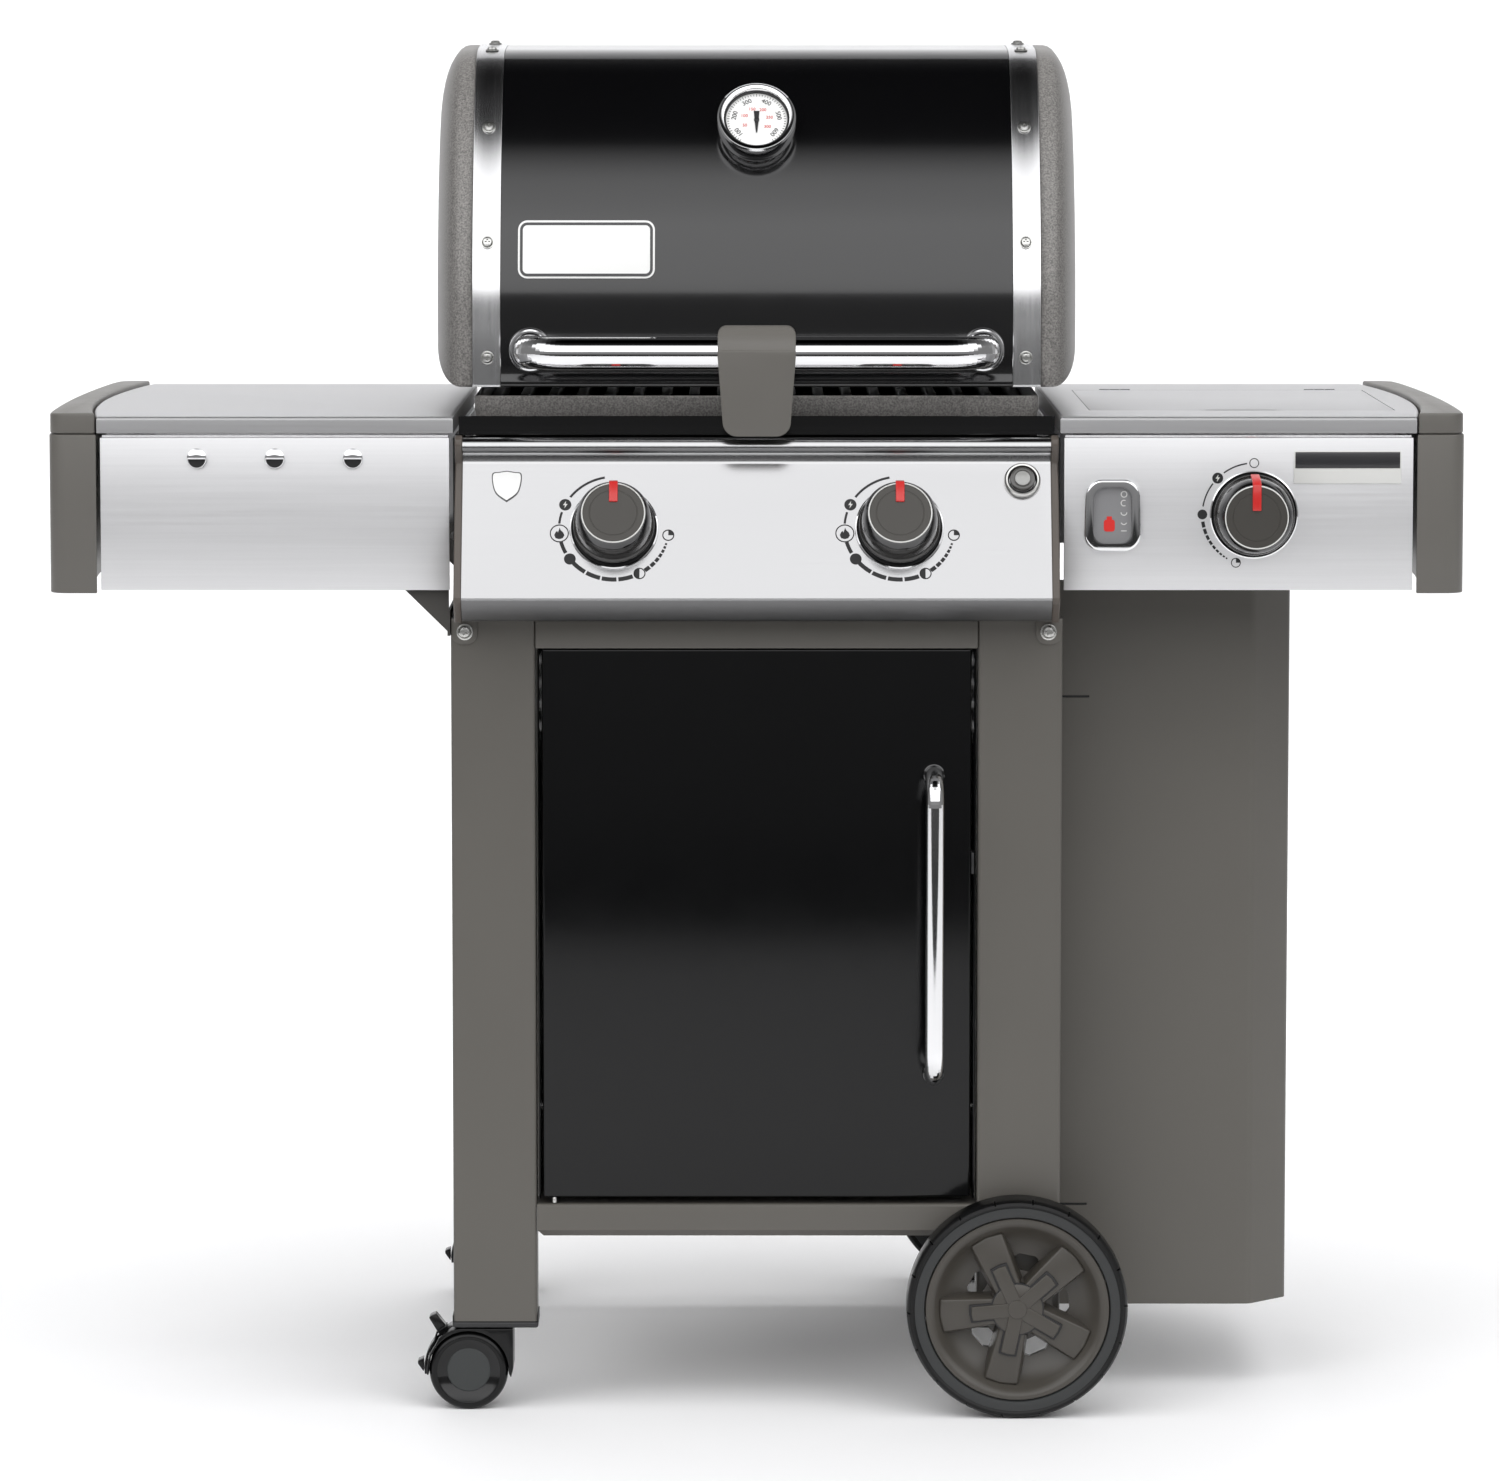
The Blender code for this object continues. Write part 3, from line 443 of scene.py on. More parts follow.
def slab(low, high, width=0.0, segments=2):
    """A box between two corners with rounded edges."""
    bm = bmesh.new()
    bmesh.ops.create_cube(bm, size=1.0)
    bmesh.ops.scale(bm, vec=Vector(high) - Vector(low), verts=bm.verts)
    bmesh.ops.translate(bm, vec=(Vector(high) + Vector(low)) / 2, verts=bm.verts)
    return soften(bm, width, segments) if width else bm


def carve(bm, *tools):
    """Cut other shapes out of a shape."""
    body_mesh = bpy.data.meshes.new("blank")
    bm.to_mesh(body_mesh)
    bm.free()
    blank = bpy.data.objects.new("blank", body_mesh)
    bpy.context.collection.objects.link(blank)
    used = []
    for tool in tools:
        tool_mesh = bpy.data.meshes.new("tool")
        tool.to_mesh(tool_mesh)
        tool.free()
        cutter = bpy.data.objects.new("tool", tool_mesh)
        bpy.context.collection.objects.link(cutter)
        hole = blank.modifiers.new("hole", "BOOLEAN")
        hole.operation = "DIFFERENCE"
        hole.object = cutter
        used.append(cutter)
    result = bmesh.new()
    result.from_object(blank, bpy.context.evaluated_depsgraph_get())
    for spent in used + [blank]:
        old = spent.data
        bpy.data.objects.remove(spent, do_unlink=True)
        bpy.data.meshes.remove(old)
    return result


def screw_head(radius, height):
    """A round head in a shallow dished washer, with a cross cut in it."""
    head = turned([(radius * wide, height * tall) for wide, tall in (
        (0, 0), (1.35, 0), (1.35, 0.3), (1.12, 0.35), (1, 0.2), (1, 0.55), (0.8, 0.9), (0.4, 1),
        (0, 1))], 20)
    arm, wide = radius * 0.55, radius * 0.14
    cuts = [slab((-arm, -wide, height * 0.45), (arm, wide, height * 2)),
            slab((-wide, -arm, height * 0.45), (wide, arm, height * 2))]
    return carve(head, *cuts)


trim_inner, trim_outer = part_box("right_lid_trim")[0][0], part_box("right_lid_trim")[1][0]
for side, word in ((-1, "left"), (1, "right")):
    low, high = sorted((side * trim_inner, side * trim_outer))
    band = drawn_out(beside(lid_line, -0.0010) + beside(lid_line, 0.0030)[::-1], "x", low, high)
    fit(soften(band, 0.0006), word + "_trim_band", bright_band, "lid", "polished_stainless",
        [word + "_lid_trim"])
    heads = []
    for share in (0.052, 0.204, 0.333, 0.450, 0.53, 0.64, 0.76, 0.90):
        i = int(share * (len(lid_line) - 1))
        here, after = Vector(lid_line[i]), Vector(lid_line[i + 1])
        along = (after - here).normalized()
        out = Vector((0, -along.y, along.x))
        spot = Vector((side * 0.2475, here.x, here.y)) + out * 0.0012
        heads.append(set_at(screw_head(0.0046, 0.0036), spot, out, (1, 0, 0)))
    fit(together(*heads), word + "_trim_screws", zinc_plate, "lid", "polished_stainless")


# ------------------------------------------------------------------ lid end castings
# Each end of the lid is a dished aluminium casting in a speckled warm-grey coat. A narrow flat
# rim meets the trim band, and the outside swells out and tapers in again towards the top.
speckle, speck_in, speck_out, speck_spot = new_effect(
    "speckle",
    [("Colour", "NodeSocketColor", (0.2, 0.2, 0.2, 1)), ("Roughness", "NodeSocketFloat", 0.5),
     ("Scale", "NodeSocketFloat", 700.0), ("Contrast", "NodeSocketFloat", 0.9)],
    [("Colour", "NodeSocketColor"), ("Roughness", "NodeSocketFloat"), ("Height", "NodeSocketFloat")])
flecks = noise(speckle, speck_spot, speck_in["Scale"], 3.0)
sharper = ranged(speckle, flecks, 0.36, 0.64)
speckle.links.new(tinted(speckle, speck_in["Colour"], sharper, speck_in["Contrast"]),
                  speck_out["Colour"])
speckle.links.new(spread(speckle, sharper, speck_in["Roughness"], 0.2), speck_out["Roughness"])
speckle.links.new(flecks, speck_out["Height"])


def speckled(name, colour, roughness, scale, depth, contrast):
    material, shader = paint(name, colour, roughness, 0.15)
    return with_effect(material, shader, speckle,
                       {"Colour": (*colour, 1), "Roughness": roughness, "Scale": scale,
                        "Contrast": contrast}, depth)


cast_coat = speckled("cast_coat", (0.180, 0.173, 0.165), 0.42, 620.0, 0.00025, 0.75)

casting_inner, casting_bulge = 0.2617, 0.0250
lid_middle = Vector((front + 0.33, 1.06))
for side, word in ((-1, "left"), (1, "right")):
    bm = bmesh.new()
    rings = [(casting_inner, 1.0, 0.0), (casting_inner + 0.0103, 1.0, 0.0)]
    for step in range(1, 11):
        angle = math.radians(9 * step)
        rings.append((casting_inner + 0.0103 + casting_bulge * math.sin(angle),
                      1.0 - 0.36 * (1 - math.cos(angle)), 0.0075 * min(1.0, 2.2 * math.sin(angle))))
    loops = []
    for x, scale, rise in rings:
        loop = []
        for y, z in lid_line:
            foot = max(lid_foot - 0.004 + rise, lid_middle.y + (z - lid_middle.y) * scale)
            loop.append(bm.verts.new((side * x, lid_middle.x + (y - lid_middle.x) * scale, foot)))
        loops.append([bm.edges.new(pair) for pair in zip(loop, loop[1:] + loop[:1])])
    for near, far in zip(loops, loops[1:]):
        bmesh.ops.bridge_loops(bm, edges=near + far)
    middle_face = bmesh.ops.contextual_create(bm, geom=loops[-1])["faces"][0]
    bmesh.ops.recalc_face_normals(bm, faces=bm.faces)
    if middle_face.normal.x * side < 0:
        bmesh.ops.reverse_faces(bm, faces=bm.faces)
    casting = fit(bm, word + "_end_casting", cast_coat, "lid", "speckled_casting",
                  [word + "_lid_end"], 50)
    wall = casting.modifiers.new("wall", "SOLIDIFY")
    wall.thickness = 0.004
    wall.offset = -1


# ------------------------------------------------------------------ lid handle and grip
# A chromed steel tube bends back into two round roses on the lid. A moulded grip in warm grey
# is clipped over its middle and hangs down as a flat tab.
chrome, chrome_shader = paint("chrome_plate", (0.86, 0.86, 0.87), 0.05, 1.0)
with_effect(chrome, chrome_shader, fine_grain,
            {"Colour": (0.86, 0.86, 0.87, 1), "Roughness": 0.055, "Scale": 300.0, "Cloud": 0.02,
             "Smear": 0.04}, 0.00001)
moulded_taupe = grained("moulded_taupe", (0.112, 0.106, 0.096), 0.42, 2600.0, 0.00012)


def bent_bar(radius, start, facing, moves, sides=28):
    """A round bar: a disc drawn out in straight runs and swung round in bends."""
    bm = bmesh.new()
    bmesh.ops.create_circle(bm, cap_ends=True, radius=radius, segments=sides)
    set_at(bm, start, facing, (0, 0.3, 1))
    end = bm.faces[:]
    for move in moves:
        turns = 16 if len(move) == 3 else 1
        for _ in range(turns):
            made = bmesh.ops.extrude_face_region(bm, geom=end)["geom"]
            end = [f for f in made if isinstance(f, bmesh.types.BMFace)]
            verts = verts_in(made)
            if len(move) == 3:
                centre, axis, angle = move
                bmesh.ops.rotate(bm, cent=centre, verts=verts,
                                 matrix=Matrix.Rotation(math.radians(angle / turns), 3, axis))
            else:
                bmesh.ops.translate(bm, vec=move[0], verts=verts)
    bmesh.ops.recalc_face_normals(bm, faces=bm.faces)
    return bm


grip_low, grip_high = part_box("lid_grip")
tube_radius = 0.01535
tube_y, tube_z = front - 0.005, 0.9806
tube_half, tube_bend = 0.208, 0.034
lid_face_y = front + 0.0594
straight = lid_face_y - (tube_y + tube_bend)
handle = bent_bar(tube_radius, (-tube_half, lid_face_y, tube_z), (0, -1, 0), [
    (Vector((0, -straight, 0)),),
    (Vector((-tube_half + tube_bend, tube_y + tube_bend, tube_z)), "Z", 90),
    (Vector((2 * (tube_half - tube_bend), 0, 0)),),
    (Vector((tube_half - tube_bend, tube_y + tube_bend, tube_z)), "Z", 90),
    (Vector((0, straight, 0)),)])
fit(handle, "handle_tube", chrome, "lid", "chrome", ["lid_handle"])
rose = [(tube_radius + 0.0003, 0.0), (0.0201, 0.0), (0.0205, 0.0018), (0.0201, 0.0040),
        (0.0190, 0.0054), (0.0176, 0.0056), (0.0168, 0.0048), (tube_radius + 0.0003, 0.0060)]
for side, word in ((-1, "left"), (1, "right")):
    fit(set_at(turned(rose, 40), (side * tube_half, lid_face_y, tube_z), (0, -1, 0)),
        word + "_handle_rose", chrome, "lid", "chrome")


def corner_arc(cx, cz, radius, start, sweep=90, steps=6):
    """Points of an arc in a plane, from a start angle through a sweep, in degrees."""
    return [(cx + radius * math.cos(math.radians(start + sweep * i / steps)),
             cz + radius * math.sin(math.radians(start + sweep * i / steps)))
            for i in range(steps + 1)]


def rounded(x_low, y_low, x_high, y_high, radius, steps=5):
    """Outline of a rectangle with round corners."""
    return (corner_arc(x_high - radius, y_high - radius, radius, 0, 90, steps)
            + corner_arc(x_low + radius, y_high - radius, radius, 90, 90, steps)
            + corner_arc(x_low + radius, y_low + radius, radius, 180, 90, steps)
            + corner_arc(x_high - radius, y_low + radius, radius, 270, 90, steps))


grip_outline = (corner_arc(0.0275, grip_high[2] - 0.008, 0.008, 0)
                + corner_arc(-0.0275, grip_high[2] - 0.008, 0.008, 90)
                + [(-0.0355, 0.978)]
                + corner_arc(-0.0178, grip_low[2] + 0.0135, 0.0133, 188, 82)
                + corner_arc(0.0178, grip_low[2] + 0.0135, 0.0133, 270, 82)
                + [(0.0355, 0.978)])
grip = drawn_out(grip_outline, "y", grip_low[1] + 0.001, tube_y + 0.0185)
for height in (0.990, 0.994, 0.998, 1.002, 0.984, 0.9835, 0.93):
    bmesh.ops.bisect_plane(grip, geom=grip.verts[:] + grip.edges[:] + grip.faces[:],
                           plane_co=(0, 0, height), plane_no=(0, 0, 1))
for vert in grip.verts:
    if vert.co.y < tube_y:
        if vert.co.z > 0.984:
            lean = (vert.co.z - 0.984) / (grip_high[2] - 0.984)
            vert.co.y += 0.0015 + 0.0150 * lean * lean
        elif vert.co.z < 0.955:
            vert.co.y += 0.0030 * (0.955 - vert.co.z) / 0.05
grip = carve(soften(grip, 0.0014, 3, 40),
             set_at(turned([(0, -0.06), (tube_radius + 0.0002, -0.06), (tube_radius + 0.0002, 0.06),
                            (0, 0.06)], 40), (0, tube_y, tube_z), (1, 0, 0)),
             slab((-0.05, tube_y - 0.0080, 0.88), (0.05, tube_y + 0.05, tube_z - tube_radius - 0.005)))
fit(grip, "handle_grip", moulded_taupe, "lid", "taupe_plastic", ["lid_grip"], 40)


# ------------------------------------------------------------------ lid thermometer
# A round dial in a deep chromed bezel stands off the leaning face of the lid. It has a white
# card with ticks and plain figures, and a black needle.
white_card = grained("white_card", (0.80, 0.80, 0.79), 0.5, 1200.0, 0.00002)
# Near black for the dial's figures, needle and seal; also used as painted shade in hook openings and
# burner holes.
ink_and_shade_black = grained("ink_and_shade_black", (0.012, 0.012, 0.013), 0.45, 1500.0, 0.00001)
red_ink = grained("red_ink", (0.60, 0.025, 0.020), 0.35, 1500.0, 0.00001)


def sector(radius, width, start, end, steps=12):
    """Outline of part of a ring, between two angles in degrees."""
    outer = corner_arc(0, 0, radius + width / 2, start, end - start, steps)
    return outer + corner_arc(0, 0, radius - width / 2, start, end - start, steps)[::-1]


def figures(text, size, place, turn=0.0, thick=0.0002):
    """Plain lettering, turned into a mesh, lying face up at a place."""
    curve = bpy.data.curves.new("figures", "FONT")
    curve.body = text
    curve.size = size
    curve.extrude = thick / 2
    curve.align_x = "CENTER"
    curve.align_y = "CENTER"
    written = bpy.data.objects.new("figures", curve)
    bpy.context.collection.objects.link(written)
    mesh = bpy.data.meshes.new_from_object(
        written.evaluated_get(bpy.context.evaluated_depsgraph_get()))
    bpy.data.objects.remove(written, do_unlink=True)
    bm = bmesh.new()
    bm.from_mesh(mesh)
    bpy.data.meshes.remove(mesh)
    bmesh.ops.transform(bm, matrix=Matrix.Translation(place) @ Matrix.Rotation(turn, 4, "Z"),
                        verts=bm.verts)
    return bm


gauge_tilt = math.radians(31)
gauge_out = Vector((0, -math.cos(gauge_tilt), math.sin(gauge_tilt)))
gauge_base = Vector((0, front + 0.1193, 1.1785))
for name, material, slot, stands_for, profile in (
        ("gauge_bezel", chrome, "chrome", ["thermometer"],
         [(0, 0.0125), (0.0340, 0.0125), (0.0362, 0.0145), (0.0368, 0.0180), (0.0368, 0.0258),
          (0.0362, 0.0284), (0.0346, 0.0298), (0.0326, 0.0300), (0.0306, 0.0290), (0.0296, 0.0268),
          (0.0292, 0.0225), (0, 0.0225)]),
        ("gauge_cup", chrome, "chrome", (),
         [(0, 0.0003), (0.0275, 0.0003), (0.0310, 0.0012), (0.0332, 0.0040), (0.0340, 0.0080),
          (0.0340, 0.0126), (0, 0.0126)]),
        ("gauge_seal", ink_and_shade_black, "black_plastic", (),
         [(0.0283, 0.0226), (0.0293, 0.0226), (0.0293, 0.0262), (0.0283, 0.0262)]),
        ("gauge_card", white_card, "chrome", (),
         [(0, 0.0226), (0.0283, 0.0226), (0.0283, 0.0232), (0, 0.0232)])):
    fit_turned(profile, 64, gauge_base, gauge_out, name, material, "lid", slot, stands_for)


def round_dial(values, first, last, radius, size, upright):
    """Figures set round a dial, each leaning with its place unless upright."""
    placed = []
    for i, value in enumerate(values):
        angle = math.radians(first + (last - first) * i / (len(values) - 1))
        spot = (radius * math.cos(angle), radius * math.sin(angle), 0.0234)
        placed.append(figures(value, size, spot, 0.0 if upright else angle - math.pi / 2))
    return placed


card_top, ink_top = 0.0232, 0.0234
ticks = []
for i in range(51):
    middle = 235 - 5.8 * i
    tick = sector(0.0262, 0.0018 if i % 5 else 0.0026, middle - 0.5, middle + 0.5, 1)
    ticks.append(drawn_out(tick, "z", card_top, ink_top))
black_figures = round_dial(("100", "200", "300", "400", "500", "600"), 218, -38, 0.0207, 0.0062, False)
red_figures = round_dial(("50", "100", "150", "200", "250", "300"), 207, -35, 0.0122, 0.0044, True)
needle = [(-0.0026, 0.0092), (-0.0018, 0.0), (-0.0018, -0.002), (-0.0005, -0.0135),
          (0.0005, -0.0135), (0.0018, -0.002), (0.0018, 0.0), (0.0026, 0.0092)]
boss = [(0, card_top), (0.0024, card_top), (0.0024, 0.0248), (0.0016, 0.0252), (0, 0.0252)]
for name, shapes, ink in (
        ("gauge_figures", ticks + black_figures, ink_and_shade_black), ("gauge_red_figures", red_figures, red_ink),
        ("gauge_needle", [drawn_out(needle, "z", 0.0238, 0.0243), turned(boss, 20)], ink_and_shade_black)):
    fit(set_at(together(*shapes), gauge_base, gauge_out), name, ink, "lid", "black_plastic")


# ------------------------------------------------------------------ lid badge plate
# A blank raised plate, bright with a dark field, follows the skin low on the left of the lid.
def on_lid(x_low, x_high, z_low, z_high, lift, thick, radius):
    """A thin plate with round corners wrapped on the front of the lid."""
    bm = drawn_out(rounded(x_low, z_low, x_high, z_high, radius, 6), "y", 0, thick)
    for height in [z_low + (z_high - z_low) * i / 12 for i in range(1, 12)]:
        bmesh.ops.bisect_plane(bm, geom=bm.verts[:] + bm.edges[:] + bm.faces[:],
                               plane_co=(0, 0, height), plane_no=(0, 0, 1))
    line_front = lid_line[:len(lid_line) // 2]
    for vert in bm.verts:
        for low, high in zip(line_front, line_front[1:]):
            if low[1] <= vert.co.z < high[1]:
                share = (vert.co.z - low[1]) / (high[1] - low[1])
                surface = low[0] + (high[0] - low[0]) * share
        vert.co.y = surface - lift - (thick - vert.co.y)
    return bm


dark_field = grained("dark_field", (0.022, 0.022, 0.024), 0.30, 900.0, 0.00002, coat=0.3)
bright_plate = grained("bright_plate", (0.78, 0.78, 0.77), 0.30, 1400.0, 0.00001)
for name, inset, lift, thick, material in (("badge_plate", 0.0, 0.0003, 0.0012, bright_plate),
                                           ("badge_border", 0.0018, 0.0015, 0.0003, dark_field),
                                           ("badge_field", 0.0044, 0.0018, 0.0004, bright_plate)):
    plate = on_lid(-0.2194 + inset, -0.0936 - inset, 1.0461 + inset, 1.0988 - inset, lift, thick,
                   0.0085 - inset)
    fit(plate, name, material, "lid", "polished_stainless")


# ------------------------------------------------------------------ firebox
# The cooking box is a cast aluminium tub in the same speckled coat. It tapers slightly to its
# foot, has round corners and a rolled rim, and its floor is open over the grease tray.
box_low, box_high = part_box("firebox")
box_half, box_top, box_foot = box_high[0], box_high[2], box_low[2]
levels = [(0.0022, box_foot, 0.014), (0.0014, 0.775, 0.014), (0.0012, 0.918, 0.014),
          (0.0008, 0.9225, 0.014), (0.0, 0.9255, 0.014), (0.0, box_top - 0.0015, 0.014),
          (0.0015, box_top, 0.013), (0.0035, box_top, 0.011), (0.0046, box_top - 0.0020, 0.010),
          (0.0048, 0.918, 0.010), (0.0046, 0.790, 0.010), (0.0110, 0.7760, 0.010)]
tub = bmesh.new()
rings = []
for inset, z, radius in levels:
    outline = rounded(-box_half + inset, box_low[1] + inset, box_half - inset, box_high[1] - inset, radius)
    rings.append([tub.verts.new((x, y, z)) for x, y in outline])
for near, far in zip(rings, rings[1:]):
    for i in range(len(near)):
        tub.faces.new((near[i - 1], near[i], far[i], far[i - 1]))
tub.faces.new(rings[0])
tub.faces.new(rings[-1])
bmesh.ops.recalc_face_normals(tub, faces=tub.faces)
openings = [drawn_out(rounded(-0.060, front + 0.27, 0.060, front + 0.39, 0.012), "z", 0.70, 0.80),
            drawn_out(rounded(-box_half + 0.020, box_low[1] + 0.020, box_half - 0.020,
                              box_high[1] - 0.020, 0.012), "z", 0.70, 0.771)]
for x in (-0.130, 0.130):
    openings.append(set_at(turned([(0, 0), (0.0125, 0), (0.0125, 0.06), (0, 0.06)], 32),
                           (x, box_low[1] - 0.02, 0.815), (0, 1, 0)))
fit(carve(tub, *openings), "firebox_casting", cast_coat, "cart", "speckled_casting", ["firebox"], 40)


# ------------------------------------------------------------------ control panel
# One folded sheet of brushed stainless: a rolled top lip, a hollow band under it, a broad face
# that leans back twenty-five degrees, and a small lip at its foot. Brown strips close its ends.
brushed_across = brushed("brushed_across", 0.46, 0.20, (6.0, 500.0, 500.0), 0.12)
panel_tilt = math.radians(25)
panel_out = Vector((0, -math.cos(panel_tilt), math.sin(panel_tilt)))
panel_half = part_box("control_panel")[1][0]


def panel_at(x, z):
    """The spot on the sloping face at a height."""
    return Vector((x, front + 0.012 - (0.880 - z) * math.tan(panel_tilt), z))


foot_y = panel_at(0, 0.760).y - front
fold = [(0.056, 0.9035), (0.0090, 0.9035), (0.0055, 0.9029), (0.0027, 0.9012), (0.0009, 0.8987),
        (0.0001, 0.8958), (0.0, 0.8933), (0.0006, 0.8915), (0.0022, 0.8905), (0.0060, 0.8902),
        (0.0102, 0.8899), (0.0117, 0.8888), (0.0121, 0.8868), (0.0121, 0.8812),
        (0.0118, 0.8797), (0.0112, 0.8783), (foot_y + 0.0010, 0.7621), (foot_y + 0.0001, 0.7602),
        (foot_y + 0.0003, 0.7582), (foot_y + 0.0015, 0.7565), (foot_y + 0.018, 0.7390),
        (foot_y + 0.0215, 0.7374), (0.040, 0.7370)]
fold = [(front + y, z) for y, z in fold]
face_sheet = drawn_out(fold + beside(fold, -0.0016)[::-1], "x", -panel_half, panel_half)
holes = []
for x, z, radius in ((-0.130, 0.822, 0.006), (0.130, 0.822, 0.006), (0.2425, 0.8630, 0.0072)):
    holes.append(set_at(turned([(0, -0.02), (radius, -0.02), (radius, 0.02), (0, 0.02)], 32),
                        panel_at(x, z), panel_out))
# Faces that turn downwards, under the rolled lip and at the foot, take a darker copy of the brushed
# stainless: painted shade.
painted_shade_brushed = brushed("painted_shade_brushed", 0.20, 0.34, (5.0, 800.0, 800.0), 0.15)
fit(carve(face_sheet, *holes), "panel_sheet", brushed_across, "cart", "brushed_stainless",
    ["control_panel"], 28, painted_shade_brushed, lambda face: face.normal.z < -0.30 and abs(face.normal.x) < 0.5)
half_line = smooth_line([(0.0, 0.0150), (-0.0070, 0.0138), (-0.0132, 0.0122), (-0.0130, 0.0020),
                         (-0.0095, -0.0075), (0.0, -0.0150)], 5)
shield_line = half_line[:-1] + [(-x, y) for x, y in half_line[::-1]][:-1]
for name, scale, low, high, material in (("panel_badge_rim", 1.0, 0.0002, 0.0012, dark_field),
                                         ("panel_badge", 0.93, 0.0010, 0.0016, bright_plate)):
    plate = drawn_out([(x * scale, y * scale) for x, y in shield_line], "z", low, high)
    fit(set_at(plate, panel_at(-0.2281, 0.8587), panel_out), name, material, "cart", "polished_stainless")
brown_strip = grained("brown_strip", (0.075, 0.062, 0.052), 0.38, 2000.0, 0.00008)
side_line = [(0.058, 0.9050), (0.006, 0.9050), (0.0, 0.9020), (-0.0012, 0.8965), (0.0020, 0.8900),
             (0.0095, 0.8800), (foot_y - 0.0012, 0.7600), (foot_y + 0.0008, 0.7550),
             (foot_y + 0.021, 0.7362), (0.0560, 0.7362)]
for side, word in ((-1, "left"), (1, "right")):
    low, high = sorted((side * (panel_half + 0.0002), side * 0.2755))
    strip = drawn_out([(front + y, z) for y, z in side_line], "x", low, high)
    fit(soften(strip, 0.0012, 3, 12), word + "_panel_strip", brown_strip, "cart", "taupe_plastic")
# A black enamel ledge lies behind the panel's top lip. The upright black strip in front of the firebox's
# foot is painted shade on the casting.
ledge_and_shade_strip = together(slab((-0.2755, front + 0.0095, 0.9053), (0.2755, front + 0.0576, 0.9063), 0.0003, 1),
                slab((-0.2740, front + 0.0562, 0.9060), (0.2740, front + 0.0576, 0.9200), 0.0004, 1))
fit(ledge_and_shade_strip, "front_ledge_and_shade_strip", black_enamel, "cart", "black_enamel")
for side, word in ((-1, "left"), (1, "right")):
    low, high = sorted((side * 0.2762, side * 0.2776))
    shield = slab((low, front + 0.0130, 0.7370), (high, front + 0.5650, 0.9030), 0.0004, 1)
    low, high = sorted((side * 0.2606, side * 0.2762))
    fold = slab((low, front + 0.0600, 0.9015), (high, front + 0.5650, 0.9030), 0.0004, 1)
    fit(together(shield, fold), word + "_side_shield", dark_field, "cart", "satin_black")


# ------------------------------------------------------------------ burner knobs and dial marks
# Each knob is a moulded skirt, a polished bevel ring and a flat cap, with a proud red pointer. The cap is
# warm grey and the skirt a darker, glossier copy of it: painted shade on the knob's sides. It slides and
# turns over a dark seat and bezel on the panel, and the black seat ring under the skirt is painted shadow;
# the scale is printed in dark grey.
dark_plastic = grained("dark_plastic", (0.016, 0.016, 0.017), 0.40, 2200.0, 0.00006)
light_paint = grained("light_paint", (0.62, 0.62, 0.60), 0.35, 1600.0, 0.00001)
# Near black for the printed scales; also used for black rings and stars that are painted shadow under the
# knobs and hub caps.
print_and_shadow_black = grained("print_and_shadow_black", (0.008, 0.008, 0.009), 0.5, 1500.0, 0.00001)
red_plastic = grained("red_plastic", (0.50, 0.018, 0.016), 0.28, 1800.0, 0.00003, coat=0.2)
smoked_chrome = brushed("smoked_chrome", 0.10, 0.10, (40.0, 40.0, 40.0), 0.03, 0.000005)
knob_face = grained("knob_face", (0.042, 0.039, 0.034), 0.40, 2600.0, 0.00010)
# A darker, glossier copy of the knob's warm grey, for the skirt: painted shade on its sides.
shaded_knob_side = grained("shaded_knob_side", (0.014, 0.013, 0.012), 0.22, 2600.0, 0.00003, coat=0.5)


